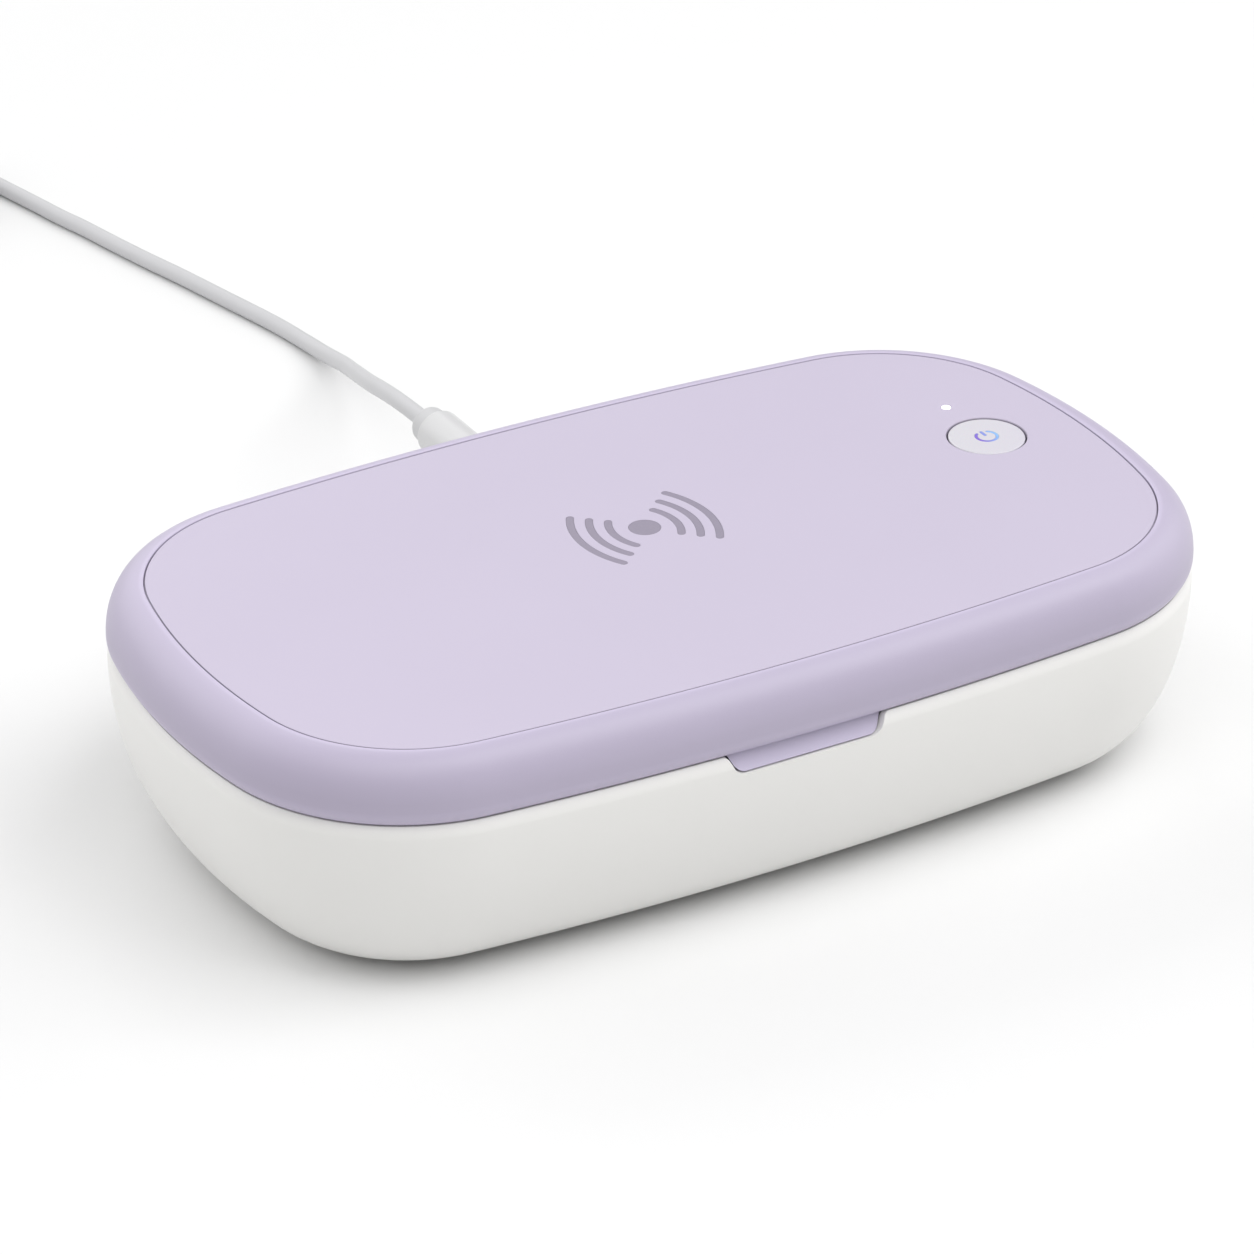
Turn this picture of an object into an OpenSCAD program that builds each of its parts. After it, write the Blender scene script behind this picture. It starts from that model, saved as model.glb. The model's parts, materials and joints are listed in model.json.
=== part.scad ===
// Ultraviolet sanitizer box for phones, with a hinged lid that also charges a phone laid on it.
// Origin: middle of the footprint, on the surface that the feet stand on. X is the length with the
// button at +X, -Y is the front with the finger tab, +Y the rear with the hinges and the lead.

/* [Outline] */
// Length of the body
body_len = 220; // [200:1:250]
// Width of the body
body_w = 127; // [118:1:140]
// Radius of the four corners, seen from above
corner_r = 42; // [38:1:46]
// Radius of the bowed ends, seen from above
end_r = 140; // [115:5:180]
// Radius of the bowed long sides, seen from above
side_r = 775; // [650:25:1000]

/* [Casing] */
// Height of the line where lid and base part
parting_z = 40; // [38:0.5:48]
// Gap between lid and base at that line
part_gap = 0.4; // [0.2:0.1:0.6]
// Height of the lid above the parting line
lid_h = 13; // [12.8:0.1:16]
// Wall thickness of both casings
wall = 2.2; // [1.8:0.1:2.4]
// How far the underside draws in from the widest outline
base_tuck = 20.5; // [16:0.5:22]
// Roundness of the base's flanks, 2 is an ellipse
base_curve = 2.2; // [2:0.1:2.6]
// Roundness of the lid's shoulder, 2 is an ellipse
lid_curve = 2.1; // [1.8:0.1:2.4]
// Inward turn of both edges at the parting line
edge_turn = 1.2; // [0.6:0.1:1.4]
// Height of each turned edge
edge_h = 2.6; // [2:0.1:3]
// Thickness of the deck under the top panel
deck_t = 1.6; // [1.2:0.1:1.8]
// Clearance around the parts that drop into the casings
drop_gap = 0.4; // [0.3:0.1:0.5]

/* [Top panel] */
// Distance from the body's ends to the top panel
panel_inset_x = 8.6; // [8:0.1:10]
// Distance from the body's long sides to the top panel
panel_inset_y = 7.3; // [6.8:0.1:9]
// Thickness of the top panel
panel_t = 1.8; // [1.4:0.1:2]
// Groove around the top panel
panel_gap = 0.3; // [0.2:0.1:0.5]
// How far the panel lies below the lid's rim
panel_drop = 0.2; // [0:0.1:0.3]
// Depth of the inlaid symbols
inlay_t = 0.3; // [0.2:0.1:0.5]
// Clearance around the inlaid symbols
inlay_gap = 0.05; // [0.02:0.01:0.1]

/* [Wireless symbol] */
// Distance of symbol and button behind the body's middle line
control_y = 5; // [0:0.5:8]
// Diameter of the dot
dot_d = 6.5; // [5:0.1:8]
// Distance from the dot's middle to the first arc
arc_reach = 6.8; // [6:0.1:8]
// Distance from arc to arc
arc_step = 3.65; // [3:0.05:4.5]
// Radius of the first arc
arc_r = 10.9; // [9:0.1:12]
// Growth of the radius from arc to arc
arc_grow = 4.95; // [4:0.05:5.5]
// Half of the angle that each arc spans
arc_half = 31.5; // [26:0.5:36]
// Width of the arcs' stroke
arc_stroke = 1.55; // [1:0.05:2]

/* [Button] */
// Distance of the button from the body's end
button_inset = 28.5; // [26:0.5:32]
// Diameter of the button
button_d = 16; // [13:0.5:18]
// Clearance around the button
button_gap = 0.35; // [0.25:0.05:0.5]
// How far the button stands above the panel
button_proud = 0.05; // [0:0.05:0.5]
// Travel of the button
button_travel = 0.5; // [0.3:0.1:0.7]
// Height of the button's collar
collar_t = 0.7; // [0.6:0.1:1]
// Diameter of the button's printed ring
standby_d = 5; // [4:0.1:6]
// Width of the printed stroke on the button
standby_stroke = 0.6; // [0.4:0.05:0.8]
// Distance from the button to the status light
led_step = 15.4; // [14:0.1:16.5]
// Diameter of the status light's window
lens_d = 2; // [1.6:0.1:2.4]

/* [Finger tab] */
// Place of the tab along the front, from the middle
tab_x = -3; // [-10:0.5:10]
// Width of the notch in the base at the parting line
notch_w = 35.3; // [28:0.1:44]
// Width of the notch at its floor, before the corners are rounded
notch_floor_w = 31.4; // [24:0.1:38]
// Depth of the notch
notch_h = 4.2; // [3.4:0.1:5]
// Radius of the notch's lower corners
notch_r = 3; // [1.5:0.1:3.2]
// Radius of the notch's upper corners
notch_flare = 1.5; // [0.8:0.1:2]
// Thickness of the tab's web
tab_t = 1.5; // [1.2:0.1:1.8]
// How far the tab's lip stands out from its web
tab_lip = 2.1; // [1.5:0.1:2.3]
// Radius of the finger scoop in the tab
scoop_r = 5; // [4.2:0.1:8]

/* [Hinges] */
// Distance of each hinge from the middle
hinge_x = 44; // [38:1:48]
// Depth of the hinge line inside the rear face
hinge_in = 3; // [2.8:0.1:3.2]
// Radius of the hinge barrels
barrel_r = 2.8; // [2.5:0.1:2.9]
// Length of a hinge, over all its barrels
hinge_len = 26; // [20:1:28]
// Length of the lid's barrel
lid_barrel = 9.6; // [8:0.2:10]
// Side clearance between barrels
barrel_gap = 0.4; // [0.3:0.1:0.5]
// Clearance around the barrels
barrel_room = 0.4; // [0.35:0.05:0.5]
// Radius of the hinge pins
pin_r = 1; // [0.8:0.1:1.2]
// Clearance of the pins in the base's barrels
pin_hold = 0.02; // [0.01:0.01:0.04]
// Clearance of the pins in the lid's barrels
pin_run = 0.05; // [0.03:0.01:0.08]
// Half of the relief angle behind the hinge line
relief_a = 50; // [48:1:54]
// How far the relief starts in front of the hinge line
relief_lead = 0.4; // [0.3:0.1:0.6]

/* [Feet and base screws] */
// Distance of the feet from the body's ends
foot_inset_x = 38; // [36:1:42]
// Distance of the feet from the body's long sides
foot_inset_y = 35.5; // [34:0.5:38]
// Diameter of the feet
foot_d = 13; // [11:0.5:14]
// Height of the feet
foot_h = 1.8; // [1.4:0.1:2.2]
// How far the feet stand out
foot_show = 1; // [0.6:0.1:1.2]
// Clearance around the feet
foot_gap = 0.2; // [0.1:0.05:0.4]
// Diameter of the casing's screw posts
post_d = 8; // [7.6:0.2:10]
// Thickness of the post's floor under the tray's boss
post_seat = 2; // [1.5:0.1:2.5]

/* [Screws] */
// Shank radius of the casing screws
screw_r = 1.35; // [1.2:0.05:1.45]
// Head radius of the casing screws
head_r = 2.4; // [2.1:0.1:2.5]
// Head height of the casing screws
head_h = 1.2; // [1:0.1:1.4]
// Radial clearance of a screw in the part that it holds
screw_room = 0.25; // [0.15:0.05:0.3]
// Radial clearance of a screw in its boss
thread_room = 0.05; // [0.03:0.01:0.1]
// Diameter of the screw bosses
boss_d = 6.5; // [6:0.1:7.4]
// Distance of the lid's screws from the body's ends
lid_screw_in_x = 30; // [28:1:34]
// Distance of the lid's screws from the body's long sides
lid_screw_in_y = 27.5; // [26:0.5:30]

/* [Tray] */
// Distance from the body's outline to the tray's opening
tray_inset = 13; // [12.8:0.1:15]
// Wall thickness of the tray
tray_t = 1.5; // [1.2:0.1:1.8]
// Height of the tray's floor above the casing's underside
tray_floor = 12.5; // [12:0.1:14]
// Radius between the tray's floor and wall
tray_round = 5; // [4:0.5:7]
// Distance from the parting line down to the tray's flange
flange_drop = 1.8; // [1.6:0.1:2.2]
// Width of the phone rails
rest_w = 3; // [2:0.5:4]
// Height of the phone rails
rest_h = 3; // [2:0.5:4]
// Length of the phone rails
rest_len = 60; // [40:1:62]
// Distances of the inner and the outer rails from the middle
rest_x = [30, 70];

/* [Lamps] */
// Distance of the lamp boards from the middle
lamp_x = 52; // [46:1:56]
// Distance of the lamps from the body's middle line
lamp_y = 18; // [14:0.5:20]
// Width of a lamp board
lamp_board_w = 16; // [13:0.5:18]
// Length of a lamp board
lamp_board_len = 56; // [54:1:60]
// Thickness of all lamp boards
lamp_board_t = 1.6; // [1.2:0.1:1.8]
// Size of a lamp chip
chip_w = 3.5; // [2.8:0.1:3.8]
// Height of a lamp chip
chip_t = 1.2; // [1:0.1:1.4]
// Diameter of the lamp windows
window_d = 8.8; // [8:0.1:10]
// Thickness of the lamp windows
window_t = 0.9; // [0.6:0.1:1.1]
// Clearance around the lamp windows
window_gap = 0.1; // [0.05:0.05:0.2]
// Width of the ledge that a window lies on
window_ledge = 1.25; // [0.8:0.05:1.4]
// Height of the pads between a board and its carrier
pad_t = 0.8; // [0.6:0.1:1]

/* [Main board] */
// Places of the board's two ends along the rear wall
board_x = [-26, 34];
// Distance from the body's rear face to the board
board_in = 8.1; // [7.9:0.1:8.4]
// Thickness of the board
board_t = 1.2; // [1:0.1:1.6]
// Height of the board's lower edge
board_z = 15; // [14.5:0.5:18]
// Height of the board's screws
board_screw_z = 20; // [19:0.5:24]

/* [Supply plug] */
// Place of the supply plug along the rear face
plug_x = 5; // [2:0.5:7]
// Height of the supply plug's axis
plug_z = 30; // [28:0.5:31]
// Diameter of the round plug body
plug_d = 10.4; // [9.5:0.1:11]
// Length of the plug body
plug_len = 39; // [30:1:45]
// Diameter of the strain relief
relief_d = 8.3; // [7:0.1:9]
// Length of the strain relief
relief_len = 8; // [6:0.5:12]
// Depth of the plug's seat in the rear face
seat_depth = 2; // [1.8:0.1:2.2]
// Clearance around the plug in its seat
seat_gap = 0.5; // [0.3:0.1:0.8]
// Width and height of the plug's tongue
tongue = [8.2, 2.4];

/* [Magnets] */
// Diameter of the magnets
magnet_d = 5; // [4:0.5:5]
// Thickness of the magnets
magnet_t = 1.5; // [1.2:0.1:1.6]
// Clearance around the magnets
magnet_gap = 0.1; // [0.05:0.05:0.15]
// Wall around the magnets
magnet_wall = 0.6; // [0.5:0.1:0.7]
// Distance of the magnets from the body's outline
magnet_in = 5.9; // [5.8:0.1:6.1]
// Place of the closing magnets around the front corners
magnet_a = 70; // [60:1:76]
// Place of the interlock magnet and its sensor along the rear
interlock_x = 22; // [20:0.5:24]

/* [Lid inside] */
// Distance from the parting line up to the lid's inner cover
liner_rise = 1.8; // [1.6:0.1:2]
// Thickness of the lid's inner cover
liner_t = 1.5; // [1.3:0.1:1.7]
// Distance from the body's outline to the light seal
seal_in = 9.4; // [9.3:0.1:10]
// Width of the light seal
seal_w = 2.6; // [2:0.1:2.7]
// Gap between the light seal and the tray
seal_gap = 0.3; // [0.2:0.1:0.4]
// Outer diameter of the charging winding
winding_d = 48; // [40:1:50]
// Inner diameter of the charging winding
winding_in_d = 21; // [16:1:26]
// Thickness of the charging winding
winding_t = 1.3; // [1:0.1:1.4]
// Diameter of the ferrite disc
ferrite_d = 50; // [50:1:52]
// Thickness of the ferrite disc
ferrite_t = 0.8; // [0.6:0.1:0.9]
// Length and width of the charger's board
charger = [76, 54];
// Thickness of the charger's board
charger_t = 1; // [0.8:0.1:1]
// Distances of the charger's screws from its middle
charger_screw = [33, 22];
// Width of the button's board
switch_board_w = 22; // [20:1:24]
// Thickness of the button's board
switch_board_t = 1; // [0.8:0.1:1.2]
// Height of the switch housing
switch_h = 1.8; // [1.5:0.1:2]
// Width of the switch housing
switch_w = 6; // [5:0.5:7]
// Radius of the switch plunger
plunger_r = 1.5; // [1.2:0.1:1.8]

/* [Lead] */
// Diameter of the supply lead
cord_d = 4; // [3.6:0.1:4.1]
// Radius of the put-away coil's outermost turn, on its centreline
coil_r = 27.5; // [26:0.5:30]
// Distance from turn to turn, and from layer to layer
coil_pitch = 4.6; // [4.6:0.1:5]
// Thickness of the coil's tie
tie_t = 0.6; // [0.5:0.1:0.8]
// Width of the coil's tie
tie_w = 6; // [4:0.5:10]

/* [Hidden] */
$fn = 64;
// How far joined shapes run into each other
bite = 0.2;
// How far a cut runs past the face that it opens
over = 1;
// Step between two rings that would otherwise meet
hair = 0.001;

// Heights, from the feet up
base_z = foot_show;
rim_z = parting_z - part_gap / 2;
lid_z = parting_z + part_gap / 2;
top_z = parting_z + lid_h;
panel_z = top_z - panel_drop;
deck_z = panel_z - panel_t;
ceiling_z = deck_z - deck_t;
liner_z = parting_z + liner_rise;
liner_top = liner_z + liner_t;
flange_z = parting_z - flange_drop;
floor_z = base_z + tray_floor;
tray_under = floor_z - tray_t;
seat_rise = 0.8;
post_z = base_z + wall + seat_rise + post_seat;

// Places
foot_x = body_len / 2 - foot_inset_x;
foot_y = body_w / 2 - foot_inset_y;
lid_screw_x = body_len / 2 - lid_screw_in_x;
lid_screw_y = body_w / 2 - lid_screw_in_y;
button_x = body_len / 2 - button_inset;
led_y = control_y + led_step;
axis_y = body_w / 2 - hinge_in;
front_y = body_w / 2;
carrier_inset = wall + drop_gap;

// The outline is eight tangent arcs. Centre of the corner arc in the quarter where x and y are positive:
function corner_at(len, wid, rc, re, rs) =
    let (
        e = [len / 2 - re, 0],
        s = [0, wid / 2 - rs],
        d1 = re - rc,
        d2 = rs - rc,
        d = norm(s - e),
        along = (d1 * d1 - d2 * d2 + d * d) / (2 * d),
        off = sqrt(d1 * d1 - along * along),
        u = (s - e) / d
    )
    e + along * u + off * [-u[1], u[0]];
function dir(a) = [cos(a), sin(a)];
function arc(c, r, a0, a1, steps) = [for (i = [0:steps - 1]) c + r * dir(a0 + (a1 - a0) * i / steps)];
function angle_of(v) = atan2(v[1], v[0]);
function outline(len, wid, rc, re, rs) =
    let (
        c = corner_at(len, wid, rc, re, rs),
        e = len / 2 - re,
        s = wid / 2 - rs,
        th = angle_of(c - [e, 0]),
        ph = angle_of(c - [0, s]),
        round_steps = 9,
        bow_steps = 8
    )
    concat(
        arc([e, 0], re, -th, th, bow_steps),
        arc(c, rc, th, ph, round_steps),
        arc([0, s], rs, ph, 180 - ph, bow_steps),
        arc([-c[0], c[1]], rc, 180 - ph, 180 - th, round_steps),
        arc([-e, 0], re, 180 - th, 180 + th, bow_steps),
        arc(-c, rc, 180 + th, 180 + ph, round_steps),
        arc([0, -s], rs, 180 + ph, 360 - ph, bow_steps),
        arc([c[0], -c[1]], rc, 360 - ph, 360 - th, round_steps)
    );
function body_ring(t) = outline(body_len - 2 * t, body_w - 2 * t, corner_r - t, end_r - t, side_r - t);
function panel_ring(t) =
    outline(
        body_len - 2 * (panel_inset_x + t), body_w - 2 * (panel_inset_y + t),
        corner_r - panel_inset_x - t, end_r - t, side_r - t
    );
function mixed(a, b, s) = [for (i = [0:len(a) - 1]) a[i] * (1 - s) + b[i] * s];
// Distance from the rear middle to the body's rear face at x, on the outline drawn in by t
function rear_y(x, t) = body_w / 2 - side_r + sqrt((side_r - t) * (side_r - t) - x * x);

// Share of the way in that a rounded flank has gone, at share u of its height
function flank(u, n) = 1 - pow(1 - pow(u, n), 1 / n);

// A closed body from rings of points at rising steps of its section, each [points, z]
module skin(rings) {
    n = len(rings[0][0]);
    m = len(rings);
    points = [for (r = rings) for (p = r[0]) [p[0], p[1], r[1]]];
    sides = [for (k = [0:m - 2]) for (i = [0:n - 1]) let (j = (i + 1) % n)
        [k * n + i, (k + 1) * n + i, (k + 1) * n + j, k * n + j]];
    first = [for (i = [0:n - 1]) i];
    last = [for (i = [n - 1:-1:0]) (m - 1) * n + i];
    polyhedron(points = points, faces = concat([first], sides, [last]), convexity = 8);
}

// A round or many-sided tube swept along points, closed at both ends
function unit(v) = v / norm(v);
function heading(p, i) = unit(p[min(i + 1, len(p) - 1)] - p[max(i - 1, 0)]);
module tube(path, r, sides, up = [0, 0, 1]) {
    m = len(path);
    points = [for (i = [0:m - 1])
        let (t = heading(path, i), side = unit(cross(t, up)), top = cross(side, t))
        for (k = [0:sides - 1]) path[i] + r * (cos(360 * k / sides) * side + sin(360 * k / sides) * top)];
    walls = [for (i = [0:m - 2]) for (k = [0:sides - 1]) let (j = (k + 1) % sides)
        each [[i * sides + k, i * sides + j, (i + 1) * sides + j],
              [i * sides + k, (i + 1) * sides + j, (i + 1) * sides + k]]];
    first = [for (k = [1:sides - 2]) [0, k + 1, k]];
    last = [for (k = [1:sides - 2]) [(m - 1) * sides, (m - 1) * sides + k, (m - 1) * sides + k + 1]];
    polyhedron(points = points, faces = concat(first, walls, last), convexity = 10);
}
// A smooth curve through the route's points, steps to each stretch
function along(a, b, c, d, s) =
    0.5 * (2 * b + (c - a) * s + (2 * a - 5 * b + 4 * c - d) * s * s + (3 * b - a - 3 * c + d) * s * s * s);
function smooth(p, steps) =
    let (m = len(p))
    concat(
        [for (i = [0:m - 2]) for (k = [0:steps - 1])
            along(p[max(i - 1, 0)], p[i], p[i + 1], p[min(i + 2, m - 1)], k / steps)],
        [p[m - 1]]
    );

// The same, with the first and the last stretch left straight
function inner(p) = [for (i = [1:len(p) - 2]) p[i]];
function ends_straight(p, steps) = concat([p[0]], smooth(inner(p), steps), [p[len(p) - 1]]);

module at_feet() {
    for (sx = [-1, 1]) for (sy = [-1, 1]) translate([sx * foot_x, sy * foot_y, 0]) children();
}
module at_lid_screws() {
    for (sx = [-1, 1]) for (sy = [-1, 1]) translate([sx * lid_screw_x, sy * lid_screw_y, 0]) children();
}
module at_lamps() {
    for (sx = [-1, 1]) for (sy = [-1, 1]) translate([sx * lamp_x, sy * lamp_y, 0]) children();
}
module at_charger_screws() {
    for (sx = [-1, 1]) for (sy = [-1, 1])
        translate([sx * charger_screw[0], control_y + sy * charger_screw[1], 0]) children();
}
module at_magnets() {
    c = corner_at(body_len, body_w, corner_r, end_r, side_r);
    p = c + (corner_r - magnet_in) * dir(magnet_a);
    for (s = [-1, 1]) translate([s * p[0], -p[1], 0]) children();
}
module at_interlock() {
    translate([interlock_x, rear_y(interlock_x, magnet_in), 0]) children();
}
module at_hinges() {
    for (s = [-1, 1]) translate([s * hinge_x, axis_y, parting_z]) children();
}
module rod(r, z0, z1) {
    translate([0, 0, z0]) cylinder(r = r, h = z1 - z0);
}
// A bar along X, from x0 to x1 on the hinge line
module x_rod(r, x0, x1) {
    translate([x0, 0, 0]) rotate([0, 90, 0]) cylinder(r = r, h = x1 - x0);
}
// A bar along Y, from y0 to y1
module y_rod(r, y0, y1) {
    translate([0, y0, 0]) rotate([-90, 0, 0]) cylinder(r = r, h = y1 - y0);
}
module box(x0, x1, y0, y1, z0, z1) {
    translate([x0, y0, z0]) cube([x1 - x0, y1 - y0, z1 - z0]);
}
module rounded(w, h, r) {
    offset(r = r) square([w - 2 * r, h - 2 * r], center = true);
}

// ---- Base casing ----
// Drawn-in distance of the base's outer face at height z
function base_in(z) =
    let (d = (parting_z - z) / (parting_z - base_z))
    base_tuck * flank(d, base_curve) + edge_turn * pow(max(0, 1 - (rim_z - z) / edge_h), 2);
base_steps = 9;
function base_height(i) = base_z + (rim_z - edge_h - base_z) * (1 - cos(90 * i / base_steps));
inner_base_z = base_z + wall;
inner_steps = 8;
function inner_height(i) =
    inner_base_z + (rim_z - edge_h - inner_base_z) * (1 - cos(90 * i / inner_steps));
function inner_base_in(z) =
    let (d = (parting_z - z) / (parting_z - inner_base_z))
    wall + (base_tuck - wall) * flank(d, base_curve);

module hinge_relief() {
    far = 12;
    drop = far * tan(relief_a);
    channel = lead_x + lead_turn;
    translate([-body_len / 2, axis_y - relief_lead, parting_z]) rotate([90, 0, 90])
        linear_extrude(body_len) polygon([[0, 0], [far, -drop], [far, drop]]);
    translate([0, axis_y, parting_z]) x_rod(lead_r + lead_room, -channel, channel);
}
module hinge_room() {
    at_hinges() x_rod(barrel_r + barrel_room, -hinge_len / 2 - barrel_gap, hinge_len / 2 + barrel_gap);
}
// The notch for the finger tab, seen from the front, in widths from its middle and heights
module notch_shape(shrink) {
    offset(delta = -shrink) offset(r = -notch_flare) offset(r = notch_flare) union() {
        offset(r = notch_r) offset(r = -notch_r) polygon([
            [-notch_floor_w / 2, parting_z - notch_h], [notch_floor_w / 2, parting_z - notch_h],
            [notch_w / 2, rim_z], [notch_w / 2, liner_top + 2 * notch_r],
            [-notch_w / 2, liner_top + 2 * notch_r], [-notch_w / 2, rim_z]
        ]);
        translate([-notch_w, rim_z]) square([2 * notch_w, liner_top + 2 * notch_r - rim_z]);
    }
}
// The webs that carry the hinge barrels, about the hinge line: to the rear, down and up
web_back = 0.9;
web_drop = 9;
web_rise = 6;
notch_cut = 12;
// The main board's bosses and their holes, inward from the rear face
boss_in = 3.6;
boss_hole_in = 4.4;
// The tongue's slot through the rear wall
tongue_room = 0.4;
slot_in = 8;

module base_shell() color([0.93, 0.92, 0.92]) {
    difference() {
        union() {
            difference() {
                skin(concat(
                    [for (i = [0:base_steps]) let (z = base_height(i)) [body_ring(base_in(z)), z]],
                    [for (k = [1:2]) let (z = rim_z - edge_h * (1 - k / 2)) [body_ring(base_in(z)), z]],
                    [[body_ring(wall), rim_z - hair]],
                    [for (i = [inner_steps:-1:0]) let (z = inner_height(i)) [body_ring(inner_base_in(z)), z]]
                ));
                hinge_relief();
                hinge_room();
                translate([tab_x, -front_y + notch_cut / 2, 0]) rotate([90, 0, 0])
                    linear_extrude(notch_cut) notch_shape(0);
            }
            at_feet() rod(post_d / 2, base_z + 0.5 * wall, post_z);
            at_hinges() base_barrels();
            at_board_screws() y_rod(board_boss_r, board_y + board_t, rear_y(0, 0) - boss_in);
        }
        at_feet() {
            rod(foot_d / 2 + foot_gap, base_z - over, foot_h);
            rod(screw_r + screw_room, base_z, post_z + over);
            rod(head_r + foot_gap, base_z, post_z - post_seat);
        }
        at_hinges() x_rod(pin_r + pin_hold, -hinge_len, hinge_len);
        at_board_screws() y_rod(board_screw_r + thread_room, board_y, rear_y(0, 0) - boss_hole_in);
        translate([plug_x, 0, plug_z]) {
            y_rod(plug_d / 2 + seat_gap, plug_y, front_y + over);
            box(
                -tongue[0] / 2 - tongue_room, tongue[0] / 2 + tongue_room, front_y - slot_in, front_y,
                -tongue[1] / 2 - tongue_room, tongue[1] / 2 + tongue_room
            );
        }
    }
}
module base_barrels() {
    for (s = [0, 1]) mirror([s, 0, 0]) {
        x0 = lid_barrel / 2 + barrel_gap;
        x_rod(barrel_r, x0, hinge_len / 2);
        box(x0, hinge_len / 2, -barrel_r, web_back, -web_drop, 0);
    }
}
module rubber_feet() color([0.35, 0.35, 0.37]) {
    at_feet() rod(foot_d / 2, 0, foot_h);
}
// A pan-headed screw with its head's seat at z = 0 and its shank going up. The head has a flat
// crown and a straight rim, in shares of its radius and height.
head_crown = 0.5;
head_rim = 0.4;
module screw(r, length, head, height) {
    rod(r, -bite, length);
    rotate_extrude() polygon([
        [0, -height], [head_crown * head, -height], [head, -head_rim * height], [head, 0], [0, 0]
    ]);
}
// Gap between a casing screw's end and the face beyond it
screw_end = 0.4;
module base_screws() color([0.7, 0.7, 0.72]) {
    at_feet() translate([0, 0, post_z - post_seat])
        screw(screw_r, tray_under - screw_end - post_z + post_seat, head_r, head_h);
}

// ---- Tray ----
tray_outer = tray_inset - tray_t;
turn_steps = 5;
// The flange's cut-outs: beside and before each hinge, beside and behind the tab, beside the harness
hinge_side = 1.5;
hinge_front = 1.2;
tab_side = 1.4;
tab_back = 0.5;
lead_side = 5;
// The magnets lie a little below the flange, on a floor of their own
magnet_sink = 0.1;
magnet_floor = 1;
magnet_z = flange_z - magnet_sink - magnet_t;
// Posts that a board sits on, with stakes through it
pad_r = 2;
stake_r = 0.8;
stake_gap = 0.1;
stake_proud = 0.4;
pin_edge = 0.5;
module base_tray() color([0.82, 0.82, 0.85]) {
    outer_r = tray_round + tray_t;
    difference() {
        union() {
            skin(concat(
                [for (i = [0:turn_steps]) let (a = 90 * i / turn_steps)
                    [body_ring(tray_outer + outer_r * (1 - sin(a))), tray_under + outer_r * (1 - cos(a))]],
                [[body_ring(tray_outer - hair), flange_z - tray_t],
                 [body_ring(carrier_inset), flange_z - tray_t + hair],
                 [body_ring(carrier_inset), flange_z],
                 [body_ring(tray_inset), flange_z + hair]],
                [for (i = [turn_steps:-1:0]) let (a = 90 * i / turn_steps)
                    [body_ring(tray_inset + tray_round * (1 - sin(a))), floor_z + tray_round * (1 - cos(a))]]
            ));
            at_feet() rod(boss_d / 2, post_z, tray_under + bite);
            at_lamp_pins() {
                rod(pad_r, tray_under - pad_t, tray_under + bite);
                rod(stake_r, tray_under - pad_t - lamp_board_t - stake_proud, tray_under);
            }
            at_magnets() rod(magnet_d / 2 + magnet_gap + magnet_wall, magnet_z - magnet_floor, flange_z);
        }
        at_feet() rod(screw_r + thread_room, post_z - over, tray_under - bite);
        at_lamps() {
            rod(window_d / 2 - window_ledge, tray_under - over, floor_z + over);
            rod(window_d / 2 + window_gap, floor_z - window_t, floor_z + over);
        }
        at_magnets() rod(magnet_d / 2 + magnet_gap, magnet_z, flange_z + over);
        for (s = [-1, 1]) box(
            s * hinge_x - hinge_len / 2 - hinge_side, s * hinge_x + hinge_len / 2 + hinge_side,
            axis_y - barrel_r - hinge_front, front_y, flange_z - tray_t - over, flange_z + over
        );
        box(
            tab_x - notch_w / 2 - tab_side, tab_x + notch_w / 2 + tab_side,
            -front_y, -front_y + wall + drop_gap + tab_t + tab_back, flange_z - tray_t - over, flange_z + over
        );
        box(lead_x - lead_side, lead_x + lead_side, board_y + board_t, front_y, flange_z - tray_t - over, flange_z + over);
    }
}
module at_lamp_pins() {
    for (sx = [-1, 1]) for (sy = [-1, 1])
        translate([sx * lamp_x, sy * (lamp_board_len / 2 - pad_r - pin_edge), 0]) children();
}
module phone_rests() color([0.85, 0.86, 0.88]) {
    for (x = rest_x) for (s = [-1, 1])
        translate([s * x, rest_len / 2, floor_z]) rotate([90, 0, 0]) linear_extrude(rest_len) polygon(concat(
            [[rest_w / 2, 0]],
            [for (a = [0:15:180]) [rest_w / 2 * cos(a), rest_h - rest_w / 2 + rest_w / 2 * sin(a)]],
            [[-rest_w / 2, 0]]
        ));
}

// ---- Lamps ----
module lamp_boards(z) {
    for (s = [-1, 1]) difference() {
        translate([s * lamp_x, 0, z + lamp_board_t / 2])
            cube([lamp_board_w, lamp_board_len, lamp_board_t], center = true);
        at_lamp_pins() rod(stake_r + stake_gap, z - over, z + lamp_board_t + over);
    }
}
module lamp_chips(z) {
    at_lamps() translate([0, 0, z + chip_t / 2]) cube([chip_w, chip_w, chip_t], center = true);
}
lower_board_z = tray_under - pad_t - lamp_board_t;
upper_board_z = liner_top + pad_t;
module lower_lamp_boards() color([0.92, 0.92, 0.9]) lamp_boards(lower_board_z);
module lower_uv_lamps() color([0.9, 0.85, 0.5]) lamp_chips(lower_board_z + lamp_board_t);
module lower_lamp_windows() color([0.8, 0.85, 0.95]) at_lamps() rod(window_d / 2, floor_z - window_t, floor_z);
module upper_lamp_boards() color([0.92, 0.92, 0.9]) lamp_boards(upper_board_z);
module upper_uv_lamps() color([0.9, 0.85, 0.5]) lamp_chips(upper_board_z - chip_t);
module upper_lamp_windows() color([0.8, 0.85, 0.95]) at_lamps() rod(window_d / 2, liner_z, liner_z + window_t);

// ---- Main board ----
board_y = front_y - board_in - board_t;
board_clear = 0.7;
board_top = flange_z - tray_t - board_clear;
board_screw_r = 1;
board_screw_len = 4;
board_head_h = 1.2;
board_boss_r = 2.5;
board_edge = 4;
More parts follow.
